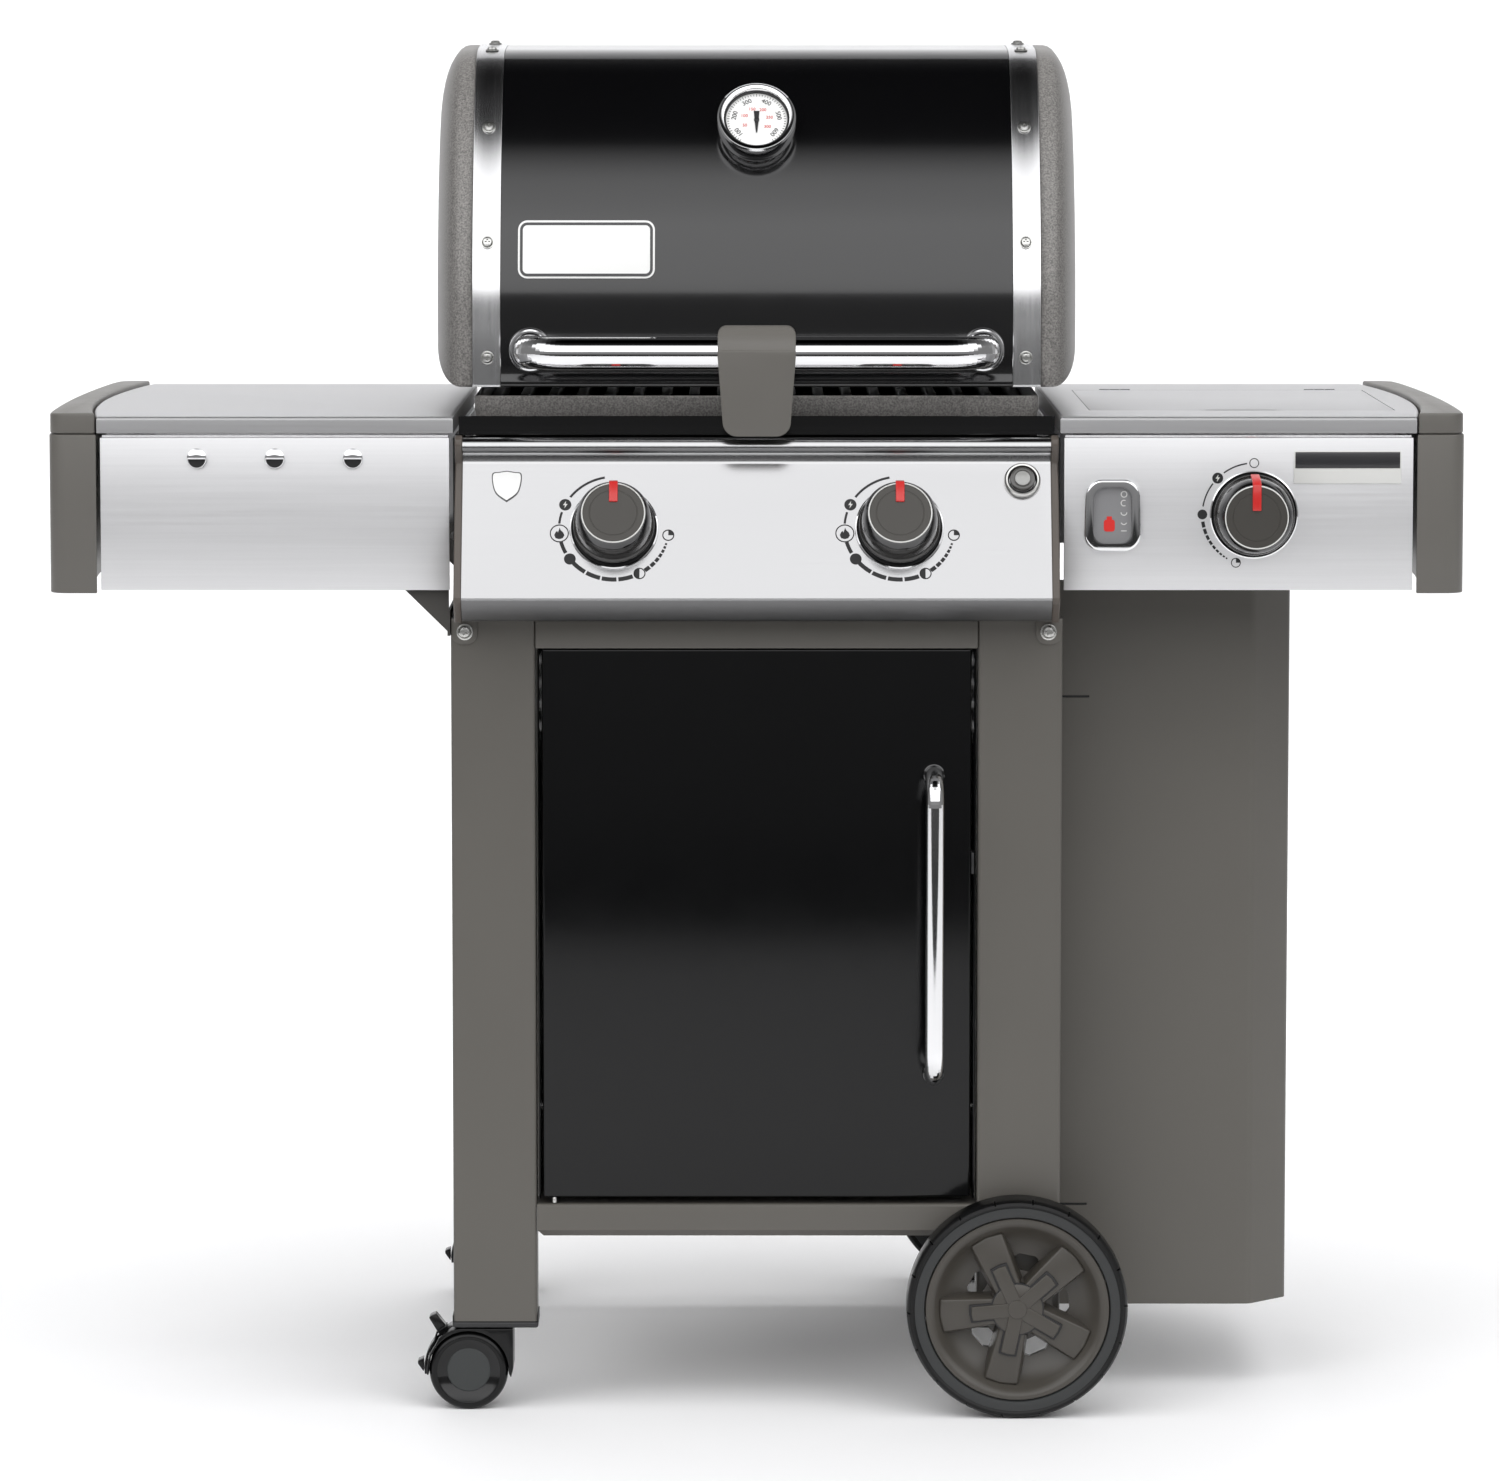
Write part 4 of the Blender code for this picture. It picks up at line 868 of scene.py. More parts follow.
def knob(word, centre, out, body, base_body, pointer_start):
    """A burner knob on a moving body, and the seat and bezel under it on a fixed one."""
    def ring_piece(part, material, on, slot, profile, stands_for=()):
        fit_turned(profile, 72, centre, out, word + "_knob_" + part, material, on, slot, stands_for)

    ring_piece("skirt", shaded_knob_side, body, "taupe_plastic", [
        (0.0043, 0.0065), (0.0350, 0.0065), (0.0366, 0.0074), (0.0369, 0.0092), (0.0364, 0.0106),
        (0.0350, 0.0116), (0.0344, 0.0200), (0.0336, 0.0290), (0.0328, 0.0306), (0.0290, 0.0312),
        (0.0043, 0.0330)], [word + "_knob"])
    ring_piece("ring", smoked_chrome, body, "chrome", [
        (0.0326, 0.0300), (0.0332, 0.0312), (0.0328, 0.0328), (0.0304, 0.0376), (0.0296, 0.0386),
        (0.0288, 0.0388), (0.0280, 0.0380), (0.0280, 0.0320)])
    ring_piece("line", light_paint, body, "polished_stainless", [
        (0.0290, 0.0384), (0.0290, 0.0394), (0.0284, 0.0397), (0.0279, 0.0394), (0.0279, 0.0384)])
    ring_piece("cap", knob_face, body, "taupe_plastic", [
        (0, 0.0330), (0.0279, 0.0330), (0.0279, 0.0386), (0.0274, 0.0390), (0.0222, 0.0390),
        (0.0219, 0.0387), (0.0213, 0.0387), (0.0210, 0.0390), (0, 0.0390)])
    pointer = drawn_out([(pointer_start, 0.0380), (pointer_start, 0.0404), (0.0292, 0.0404),
                         (0.0304, 0.0398), (0.0346, 0.0312), (0.0366, 0.0150), (0.0374, 0.0110),
                         (0.0374, 0.0090), (0.0340, 0.0090), (0.0290, 0.0360)], "x", -0.0040, 0.0040)
    fit(set_at(soften(pointer, 0.0008, 3), centre, out), word + "_knob_pointer", red_plastic, body,
        "taupe_plastic")
    # The black seat ring just outside the skirt is painted shadow under the knob.
    ring_piece("seat", print_and_shadow_black, base_body, "black_plastic", [
        (0.0072, 0.0003), (0.0376, 0.0003), (0.0376, 0.0010), (0.0072, 0.0010)])
    ring_piece("bezel", chrome, base_body, "black_plastic", [
        (0.0376, 0.0003), (0.0402, 0.0003), (0.0406, 0.0009), (0.0402, 0.0020), (0.0392, 0.0026),
        (0.0381, 0.0023), (0.0376, 0.0012)])


def flame(size):
    """Outline of a small flame."""
    left = [(0.0, -0.5), (-0.30, -0.42), (-0.42, -0.15), (-0.30, 0.12), (-0.16, 0.22), (-0.12, 0.05),
            (0.02, 0.50)]
    right = [(0.12, 0.28), (0.34, 0.06), (0.42, -0.18), (0.28, -0.42)]
    return [(x * size, y * size) for x, y in left + right]


def bolt(size):
    """Outline of a small spark."""
    points = [(0.10, 0.5), (-0.28, -0.06), (-0.02, -0.06), (-0.12, -0.5), (0.30, 0.10), (0.04, 0.10)]
    return [(x * size, y * size) for x, y in points][::-1]


def moved(outline, radius, degrees):
    """An outline carried out to a radius, kept upright."""
    dx, dy = polar(radius, degrees)
    return [(x + dx, y + dy) for x, y in outline]


ink_low, ink_high = 0.00005, 0.00022


def printed(outlines, rings, radius, width, steps):
    """Inked outlines, and rings set round a dial as (angle, size, start and sweep of a filled part)."""
    shapes = [drawn_out(outline, "z", ink_low, ink_high) for outline in outlines]
    for angle, size, filled in rings:
        parts = [sector(size, width, 0, 359.9, 32)]
        if filled:
            parts.append([(0.0, 0.0)] + corner_arc(0, 0, size, *filled, steps))
        for outline in parts:
            shape = drawn_out(outline, "z", ink_low, ink_high)
            bmesh.ops.translate(shape, vec=(*polar(radius, angle), 0), verts=shape.verts)
            shapes.append(shape)
    return together(*shapes)


for word, centre, body in (("left", panel_at(-0.130, 0.822), "left_knob"),
                           ("right", panel_at(0.130, 0.822), "right_knob")):
    knob(word, centre, panel_out, body, "cart", 0.0105)
    radius = 0.0500
    marks = [sector(radius, 0.0021, 100, 143), sector(radius, 0.0021, 162, 175, 4),
             sector(radius, 0.0034, 196, 209, 4)]
    marks += [sector(radius, 0.0039, a, a + 15.4, 6) for a in (223.0, 240.3, 257.6, 274.9)]
    marks += [sector(radius, 0.0038 - 0.00030 * i, a, a + 6.2 - 0.7 * i, 3)
              for i, a in enumerate((304.5, 312.3, 319.4, 325.8, 331.5, 336.5, 340.8))]
    for a, r in ((153, 0.0056), (217, 0.0054)):
        marks.append(moved(corner_arc(0, 0, r, 0, 352, 20), radius, a))
    marks.append(moved(flame(0.0110), radius, 186))
    rings = ((186, 0.0082, None), (-62, 0.0050, (90, 180)), (-8, 0.0050, (0, 90)))
    fit(set_at(printed(marks, rings, radius, 0.0010, 12), centre, panel_out), word + "_dial_marks",
        print_and_shadow_black, "cart", "black_plastic")
    spark = drawn_out(moved(bolt(0.0072), radius, 153), "z", 0.00015, 0.0003)
    fit(set_at(spark, centre, panel_out), word + "_dial_spark", light_paint, "cart", "black_plastic")


# ------------------------------------------------------------------ igniter button
# A chromed ring on the panel guides a dark push button with a lighter, glassy top.
button_at = panel_at(0.2425, 0.8630)
fit_turned([(0.0120, 0.0002), (0.0168, 0.0002), (0.0168, 0.0032), (0.0163, 0.0052), (0.0150, 0.0064),
            (0.0136, 0.0062), (0.0123, 0.0045), (0.0120, 0.0020)], 56, button_at, panel_out,
           "igniter_ring", zinc_plate, "cart", "chrome")
button_plastic = grained("button_plastic", (0.060, 0.058, 0.055), 0.20, 1200.0, 0.00001, coat=0.5)
push = turned([(0, -0.0100), (0.0065, -0.0100), (0.0065, 0.0035), (0.0110, 0.0037), (0.0115, 0.0045),
               (0.0115, 0.0074), (0.0110, 0.0088), (0.0096, 0.0095), (0.0078, 0.0093), (0.0072, 0.0088),
               (0, 0.0088)], 48)
fit(set_at(push, button_at, panel_out), "igniter_push", button_plastic, "igniter_button",
    "black_plastic", ["igniter_button"])
smoky_lens, smoky_shader = paint("smoky_top", (0.30, 0.30, 0.29), 0.12)
smoky_shader.inputs["Coat Weight"].default_value = 0.7
with_effect(smoky_lens, smoky_shader, fine_grain,
            {"Colour": (0.30, 0.30, 0.29, 1), "Roughness": 0.12, "Scale": 400.0, "Cloud": 0.3,
             "Smear": 0.05}, 0.00001)
fit_turned([(0, 0.0086), (0.0070, 0.0086), (0.0068, 0.0094), (0.0045, 0.0100), (0, 0.0102)], 40,
           button_at, panel_out, "igniter_lens", smoky_lens, "igniter_button", "black_plastic")


# ------------------------------------------------------------------ side shelves
# Each shelf is a brushed stainless tray folded down at its edges, over an apron of the same sheet.
# A moulded cap in warm grey closes the outer end, along a gentle bow from front to back.
brushed_shelf = brushed("brushed_shelf", 0.77, 0.46, (6.0, 500.0, 500.0), 0.12)
# A darker copy of the shelf's brushed stainless, for its upright faces: painted shade.
shelf_edge_painted_shade = brushed("shelf_edge_painted_shade", 0.44, 0.46, (6.0, 500.0, 500.0), 0.12)
shelf_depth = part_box("left_apron")[1][1] - front
shelf_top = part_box("left_shelf_top")[1][2]
apron_low, apron_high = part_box("right_apron")


def bow(at_front, at_middle, at_back, steps=24):
    """Plan line of an edge that bows outwards between the shelf's front and its back."""
    line = []
    for i in range(steps + 1):
        t = i / steps
        x = (1 - t) * (1 - 2 * t) * at_front + 4 * t * (1 - t) * at_middle + t * (2 * t - 1) * at_back
        line.append((x, front + t * shelf_depth))
    return line


def on_side(outline, side):
    """An outline for the right-hand side, or its mirror image."""
    return outline if side > 0 else [(-x, y) for x, y in outline][::-1]


def tray_outline(inset):
    edge = [(x - inset, y) for x, y in bow(0.6020, 0.6215, 0.6010)]
    edge[0] = (edge[0][0], front + inset)
    edge[-1] = (edge[-1][0], front + shelf_depth - inset)
    return edge + [(0.277 + inset, front + shelf_depth - inset), (0.277 + inset, front + inset)]


def cap_plan(inset):
    radius = 0.017
    inner = [(x + 0.0006 + inset, y) for x, y in bow(0.6020, 0.6215, 0.6010)]
    inner[0] = (inner[0][0], front + inset)
    inner[-1] = (inner[-1][0], front + shelf_depth - inset)
    outer = [(x - inset, y) for x, y in bow(0.6466, 0.6480, 0.6340)][2:-2]
    near = corner_arc(0.6466 - radius, front + radius, radius - inset, -90, 90, 10)
    far = corner_arc(0.6340 - radius, front + shelf_depth - radius, radius - inset, 0, 90, 10)
    return inner[::-1] + near + outer + far


hatch_low, hatch_high = (0.3080, front + 0.103), (0.5920, front + 0.453)
for side, word, body in ((-1, "left", "left_shelf"), (1, "right", "cart")):
    top = drawn_out(on_side(tray_outline(0), side), "z", 0.9075, shelf_top)
    bmesh.ops.remove_doubles(top, verts=top.verts, dist=1e-6)
    upper = [e for e in top.edges if all(abs(v.co.z - shelf_top) < 1e-6 for v in e.verts)]
    bmesh.ops.bevel(top, geom=upper, offset=0.0035, segments=5, profile=0.5, affect="EDGES", material=-1)
    cuts = [drawn_out(on_side(tray_outline(0.0018), side), "z", 0.90, shelf_top - 0.002)]
    if side > 0:
        cuts.append(drawn_out(rounded(*hatch_low, *hatch_high, 0.004), "z", 0.90, 0.93))
    # The tray's upright faces, its folded front band among them, take the darker copy: painted shade.
    fit(carve(top, *cuts), word + "_shelf_tray", brushed_shelf, body, "brushed_stainless",
        [word + "_shelf_top"], 25, shelf_edge_painted_shade, lambda face: abs(face.normal.z) < 0.5)
    if side > 0:
        bowl = drawn_out(rounded(hatch_low[0] - 0.002, hatch_low[1] - 0.002, hatch_high[0] + 0.002,
                                 hatch_high[1] + 0.002, 0.006), "z", 0.885, shelf_top - 0.0023)
        hollow = drawn_out(rounded(*hatch_low, *hatch_high, 0.004), "z", 0.887, 0.95)
        fit(carve(bowl, hollow), "burner_bowl", brushed_shelf, body, "brushed_stainless")

    sheet = [(apron_low[0], front), (apron_high[0], front), (apron_high[0], front + shelf_depth),
             (apron_low[0], front + shelf_depth), (apron_low[0], front + shelf_depth - 0.0018),
             (apron_high[0] - 0.0018, front + shelf_depth - 0.0018),
             (apron_high[0] - 0.0018, front + 0.0018), (apron_low[0], front + 0.0018)]
    apron = soften(drawn_out(on_side(sheet, side), "z", apron_low[2], 0.9033), 0.0006, 2)
    if side > 0:
        apron = carve(apron, set_at(turned([(0, 0), (0.006, 0), (0.006, 0.03), (0, 0.03)], 32),
                                    (0.4538, front - 0.01, 0.8333), (0, 1, 0)))
    fit(apron, word + "_apron_sheet", brushed_shelf, body, "brushed_stainless", [word + "_apron"], 25)
    roll = bent_bar(0.0013, (side * (apron_low[0] + 0.001), front + 0.0013, 0.9047), (side, 0, 0),
                    [(Vector((side * (apron_high[0] - apron_low[0] - 0.003), 0, 0)),)], 16)
    fit(roll, word + "_apron_bead", bright_band, body, "polished_stainless")

    crown = soften(drawn_out(on_side(cap_plan(0.0009), side), "z", 0.9068, 0.9256), 0.0020, 4, 40)
    skirt = soften(drawn_out(on_side(cap_plan(0.0), side), "z", 0.761, 0.9060), 0.0012, 3, 40)
    core = drawn_out(on_side(cap_plan(0.0035), side), "z", 0.80, 0.915)
    fit(together(crown, skirt, core), word + "_end_cap", moulded_taupe, body, "taupe_plastic",
        [word + "_shelf_cap"], 30)


# ------------------------------------------------------------------ tool hooks
# Three chromed tool hooks are riveted to the left apron. Each is a round cup whose lower half is
# open, with a short ledge across its middle to hang a tool on; a black half disc inside the opening is
# painted shade.
for i, x in enumerate((-0.5106, -0.4395, -0.3682)):
    spot = (x, front - 0.0002, 0.8847)
    shell = turned([(0, 0.0), (0.0094, 0.0), (0.0094, 0.0020), (0.0088, 0.0036), (0.0066, 0.0050),
                    (0.0030, 0.0056), (0, 0.0057)], 44)
    mouth = drawn_out(corner_arc(0, -0.0004, 0.0082, 180, 180, 20), "z", 0.0012, 0.02)
    ledge = slab((-0.0084, -0.0006, 0.0010), (0.0084, 0.0006, 0.0068), 0.0003, 2)
    fit(set_at(together(carve(shell, mouth), ledge), spot, (0, -1, 0)), "tool_hook_%d" % (i + 1),
        chrome, "left_shelf", "chrome")
    # The black half disc at the back of the opening is painted shade inside the cup.
    back = drawn_out(corner_arc(0, -0.0008, 0.0076, 180, 180, 20), "z", 0.0010, 0.0014)
    fit(set_at(back, spot, (0, -1, 0)), "tool_hook_%d_pocket" % (i + 1), ink_and_shade_black, "left_shelf",
        "black_plastic")


# ------------------------------------------------------------------ side burner hatch
# A flush stainless hatch hides the side burner. Its front edge has a finger notch, its rim is
# turned down, and two small barrels carry it at the back.
hatch_gap, notch_depth = 0.0003, 0.0105
left, right = hatch_low[0] + hatch_gap, hatch_high[0] - hatch_gap
near, far = hatch_low[1] + hatch_gap, hatch_high[1] - hatch_gap
hatch_plan = [(left, near), (0.409, near), (0.417, hatch_low[1] + notch_depth),
              (0.481, hatch_low[1] + notch_depth), (0.489, near), (right, near), (right, far),
              (left, far)]
hatch = carve(soften(drawn_out(hatch_plan, "z", 0.9150, shelf_top), 0.0012, 3),
              slab((hatch_low[0] + 0.0025, hatch_low[1] + 0.0145, 0.90),
                   (hatch_high[0] - 0.0025, hatch_high[1] - 0.0025, shelf_top - 0.0018)))
fit(hatch, "burner_hatch", brushed_shelf, "side_burner_lid", "brushed_stainless",
    ["side_burner_lid"], 25)


# ------------------------------------------------------------------ side burner knob and its marks
# The side burner has the same knob, square on to the right apron, with a longer pointer. Its
# printed scale runs from an open ring at the top round to a quarter-filled one.
side_at = Vector((0.4538, front, 0.8333))
knob("side_burner", side_at, (0, -1, 0), "side_knob", "cart", 0.0060)
radius = 0.0470
marks = [sector(radius, 0.0013, 98, 126), sector(radius, 0.0013, 143, 171),
         moved(corner_arc(0, 0, 0.0050, 0, 352, 20), radius, 135),
         moved(corner_arc(0, 0, 0.0045, 0, 352, 20), radius, 180)]
marks += [sector(radius, 0.0031 - 0.00022 * i, a, a + 6.6 - 0.6 * i, 3)
          for i, a in enumerate((188.0, 196.3, 204.0, 211.1, 217.6, 223.5, 228.8, 233.5, 237.6))]
rings = ((90, 0.0041, None), (250, 0.0041, (0, 90)))
fit(set_at(printed(marks, rings, radius, 0.0008, 10), side_at, (0, -1, 0)), "side_dial_marks",
    print_and_shadow_black, "cart", "black_plastic")
spark = drawn_out(moved(bolt(0.0070), radius, 135), "z", 0.00015, 0.0003)
fit(set_at(spark, side_at, (0, -1, 0)), "side_dial_spark", light_paint, "cart", "black_plastic")


# ------------------------------------------------------------------ gas level gauge and label plate
# A barrel-shaped chromed frame holds a grey window with a small red cylinder sign and level marks.
# Further out, a thin two-tone plate is left blank.
frame_line, window_line = [], []
for outline, half, low, high, radius in ((frame_line, 0.0262, 0.8000, 0.8660, 0.015),
                                         (window_line, 0.0178, 0.8073, 0.8587, 0.010)):
    for x, z in rounded(-half, low, half, high, radius, 8):
        share = (z - (low + high) / 2) / (high - low)
        outline.append((0.3247 + x * (1.0 - 0.28 * share * share - 0.06 * share), z))
gauge_frame = drawn_out(frame_line, "y", front - 0.0088, front - 0.0003)
gauge_frame = carve(soften(gauge_frame, 0.0026, 4, 45),
                    drawn_out(window_line, "y", front - 0.02, front - 0.0022))
fit(gauge_frame, "level_gauge_frame", chrome, "cart", "chrome", ["tank_gauge"], 40)
grey_window = grained("grey_window", (0.21, 0.21, 0.215), 0.35, 1600.0, 0.00003)
window_inner = [(0.3247 + (x - 0.3247) * 0.985, 0.8330 + (z - 0.8330) * 0.985) for x, z in window_line]
fit(drawn_out(window_inner, "y", front - 0.0042, front - 0.0020), "level_gauge_window", grey_window,
    "cart", "black_plastic")
bottle = rounded(-0.005, -0.007, 0.005, 0.004, 0.0025)
sign = [drawn_out([(x - 0.0030 + 0.3247, z + 0.8250) for x, z in bottle],
                  "y", front - 0.0044, front - 0.0041),
        slab((0.3193, front - 0.0044, 0.8290), (0.3241, front - 0.0041, 0.8318))]
fit(together(*sign), "level_gauge_sign", red_ink, "cart", "black_plastic")
levels_print = []
for z, start, end in ((0.8520, 0, 359.9), (0.8440, 60, 300), (0.8355, 180, 359.9), (0.8270, 200, 340)):
    ring = drawn_out([(0.3350 + x, z + y) for x, y in sector(0.0026, 0.0008, start, end, 24)],
                     "y", front - 0.0044, front - 0.0041)
    levels_print.append(ring)
levels_print.append(slab((0.3325, front - 0.0044, 0.8182), (0.3375, front - 0.0041, 0.8190)))
fit(together(*levels_print), "level_gauge_marks", light_paint, "cart", "black_plastic")
plate = soften(slab((0.4900, front - 0.0011, 0.8616), (0.5880, front - 0.0002, 0.8914)), 0.0004, 2)
fit(plate, "label_plate", light_paint, "cart", "polished_stainless")
fit(slab((0.4912, front - 0.0014, 0.8756), (0.5868, front - 0.0010, 0.8904), 0.0001),
    "label_plate_field", dark_field, "cart", "black_plastic")


# ------------------------------------------------------------------ legs, end caps and screws
# Four rectangular steel tubes, powder coated in warm grey, with black plastic caps pressed on
# their feet. A rounded tab and a cross-head screw tie each front leg to the control panel.
taupe_coat = grained("taupe_coat", (0.092, 0.086, 0.076), 0.42, 1700.0, 0.00005, 0.10, 0.10)
for node in ("front_left_leg", "front_right_leg", "rear_left_leg", "rear_right_leg"):
    low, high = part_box(node)
    tube = drawn_out(rounded(low.x, low.y, high.x, high.y, 0.0032), "z", 0.0832, high.z)
    bores = [drawn_out(rounded(low.x + 0.002, low.y + 0.002, high.x - 0.002, high.y - 0.002, 0.0014),
                       "z", 0.05, 0.78)]
    if low.x > 0:
        bores.append(set_at(turned([(0, 0), (0.0064, 0), (0.0064, 0.07), (0, 0.07)], 32),
                            (0.240, low.y - 0.01, 0.1019), (0, 1, 0)))
    fit(carve(tube, *bores), node + "_tube", taupe_coat, "cart", "taupe", [node], 30)
    foot = [slab((low.x - 0.0012, low.y - 0.0012, 0.0771), (high.x + 0.0012, high.y + 0.0012, 0.0831),
                 0.0022, 3)]
    for x in (low.x - 0.0012, high.x + 0.0001):
        foot.append(slab((x, low.y + 0.002, 0.0800), (x + 0.0011, high.y - 0.002, 0.0886), 0.0005, 2))
    fit(together(*foot), node + "_end_cap", dark_plastic, "cart", "black_plastic")
for side, word in ((-1, "left"), (1, "right")):
    y = front + 0.015
    x_low, x_high = sorted((side * 0.2560, side * 0.2800))
    tab = [(x_high, 0.7368), (x_low, 0.7368)] + corner_arc(x_low + 0.010, 0.7130 + 0.010, 0.010, 180)
    tab += corner_arc(x_high - 0.010, 0.7130 + 0.010, 0.010, 270)
    fit(soften(drawn_out(tab, "y", y - 0.0018, y - 0.0002), 0.0005), word + "_leg_tab", taupe_coat,
        "cart", "taupe")
    fit(set_at(screw_head(0.0056, 0.0042), (side * 0.2675, y - 0.0018, 0.7245), (0, -1, 0), (0.5, 0, 1)),
        word + "_leg_screw", zinc_plate, "cart", "galvanised")


# ------------------------------------------------------------------ rails and cabinet walls
# The front rail and the bottom shelf are folded steel in the same coat, and the shelf has a
# sloped flange in front. The cabinet's walls are satin black sheet with vent slots at the back.
low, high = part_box("front_rail")
fit(slab(low, high, 0.0015, 3), "cabinet_top_rail", taupe_coat, "cart", "taupe", ["front_rail"])
low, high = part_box("bottom_shelf")
pan = [(low.y, high.z - 0.002), (low.y + 0.0008, high.z - 0.0006), (low.y + 0.002, high.z),
       (high.y - 0.002, high.z), (high.y, high.z - 0.002), (high.y, 0.1686), (high.y - 0.002, 0.1686),
       (high.y - 0.002, high.z - 0.002), (low.y + 0.002, high.z - 0.002), (low.y + 0.002, 0.1692),
       (low.y, 0.1686)]
flange = bmesh.new()
edge = [(low.x, low.y, 0.1690), (high.x, low.y, 0.1690), (high.x - 0.006, low.y + 0.009, 0.1622),
        (low.x + 0.006, low.y + 0.009, 0.1622)]
face = flange.faces.new([flange.verts.new(spot) for spot in edge])
made = bmesh.ops.extrude_face_region(flange, geom=[face])["geom"]
bmesh.ops.translate(flange, vec=(0, 0.0012, 0.0014), verts=verts_in(made))
bmesh.ops.recalc_face_normals(flange, faces=flange.faces)
fit(together(soften(drawn_out(pan, "x", low.x, high.x), 0.0003, 1), flange), "cabinet_floor_pan",
    taupe_coat, "cart", "taupe", ["bottom_shelf"], 25)
satin_black = grained("satin_black", (0.0012, 0.0013, 0.0015), 0.13, 1200.0, 0.00004, 0.15, 0.06, 0.0)
set_shader(satin_black, "Specular IOR Level", 0.35)
for node in ("left_side_panel", "right_side_panel"):
    low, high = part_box(node)
    sheet = slab(low, high, 0.0004, 1)
    slots = [slab((low.x - 0.01, front + 0.20 + 0.028 * i, 0.60),
                  (high.x + 0.01, front + 0.214 + 0.028 * i, 0.66)) for i in range(8)]
    fit(carve(sheet, *slots), node + "_sheet", satin_black, "cart", "satin_black", [node], 30)
low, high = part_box("back_panel")
sheet = slab(low, high, 0.0004, 1)
slots = []
for row in range(4):
    for i in range(9):
        x, drop = -0.144 + 0.036 * i, 0.022 * row
        slots.append(drawn_out(rounded(x - 0.012, 0.640 - drop, x + 0.012, 0.647 - drop, 0.0034, 3),
                               "y", low.y - 0.01, high.y + 0.01))
fit(carve(sheet, *slots), "back_panel_sheet", satin_black, "cart", "satin_black", ["back_panel"], 30)


# ------------------------------------------------------------------ cylinder shroud
# A tall folded sheet in warm grey hides the gas cylinder bay at the right. It turns back through
# two forty-five degree bends and has two short tab slots next to the leg.
def bend_line(points, radius, steps=5):
    """A 2-D line with each inner corner rounded."""
    line = [points[0]]
    for before, at, after in zip(points, points[1:], points[2:]):
        at = Vector(at)
        back, on = (Vector(before) - at).normalized(), (Vector(after) - at).normalized()
        half = math.acos(max(-1.0, min(1.0, back.dot(on)))) / 2
        reach = radius / math.tan(half)
        for i in range(steps + 1):
            t = i / steps
            spot = at + back * reach * (1 - t) ** 2 + on * reach * t ** 2
            line.append((spot.x, spot.y))
    return line + [points[-1]]


low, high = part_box("tank_shroud")
plan = bend_line([(0.2750, front + 0.120), (0.4635, front + 0.120), (0.5000, front + 0.1565),
                  (0.5000, front + 0.440)], 0.010)
skin = drawn_out(plan + beside(plan, -0.0015)[::-1], "z", low.z, high.z)
tab_heights = (0.6535, 0.1741)
slots = [slab((0.268, front + 0.11, z), (0.3105, front + 0.13, z + 0.0022)) for z in tab_heights]
fit(carve(skin, *slots), "shroud_sheet", taupe_coat, "cart", "taupe", ["tank_shroud"], 20)
tabs = [slab((0.2760, front + 0.1218, z - 0.006), (0.3150, front + 0.1232, z + 0.008), 0.0005, 1)
        for z in tab_heights]
fit(together(*tabs), "shroud_tabs", dark_plastic, "cart", "black_plastic")


# ------------------------------------------------------------------ door, its handle and catch
# The door is a satin black pan with rounded edges, hung on its left, with zinc pins. Its handle is
# a chromed bow of round bar that turns back into the door at both ends.
low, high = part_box("door")
leaf = carve(slab(low, high, 0.0024, 4),
             slab((low.x + 0.006, low.y + 0.004, low.z + 0.006),
                  (high.x - 0.006, high.y + 0.02, high.z - 0.006)))
fit(leaf, "door_pan", satin_black, "door", "satin_black", ["door"], 30)
stiffener = slab((low.x + 0.04, low.y + 0.0041, low.z + 0.12),
                 (high.x - 0.04, low.y + 0.0090, low.z + 0.16), 0.002)
fit(stiffener, "door_stiffener", satin_black, "door", "satin_black")
fit_turned([(0, 0), (0.0022, 0.0004), (0.0024, 0.0015), (0.0024, 0.0045), (0.0020, 0.0055), (0, 0.0055)],
           16, (-0.1870, front + 0.0210, 0.1932), (0, 0, 1), "door_lower_pin", zinc_plate, "cart",
           "galvanised")
bar_radius, bow_radius = 0.0085, 0.026
bar_x, bar_low, bar_high, bar_y = 0.163, 0.3145, 0.5925, front - 0.022
door_face = low.y - 0.0003
run = door_face - (bar_y + bow_radius)
door_bow = bent_bar(bar_radius, (bar_x, door_face, bar_low), (0, -1, 0), [
    (Vector((0, -run, 0)),),
    (Vector((bar_x, bar_y + bow_radius, bar_low + bow_radius)), "X", -90),
    (Vector((0, 0, bar_high - bar_low - 2 * bow_radius)),),
    (Vector((bar_x, bar_y + bow_radius, bar_high - bow_radius)), "X", -90),
    (Vector((0, run, 0)),)], 32)
fit(door_bow, "door_bow_handle", chrome, "door", "chrome", ["door_handle"])
feet = [set_at(turned([(bar_radius + 0.0003, 0.0), (0.0100, 0.0), (0.0102, 0.0010), (0.0096, 0.0022),
                       (bar_radius + 0.0003, 0.0026)], 32), (bar_x, door_face, z), (0, -1, 0))
        for z in (bar_low, bar_high)]
fit(together(*feet), "door_handle_feet", smoked_chrome, "door", "chrome")
catch = together(slab((0.1976, front + 0.0200, 0.5000), (0.2002, front + 0.0310, 0.5200), 0.0006, 2),
                 slab((0.1900, front + 0.0335, 0.5000), (0.2002, front + 0.0420, 0.5200), 0.0010, 2))
fit(catch, "door_catch", dark_plastic, "cart", "black_plastic")


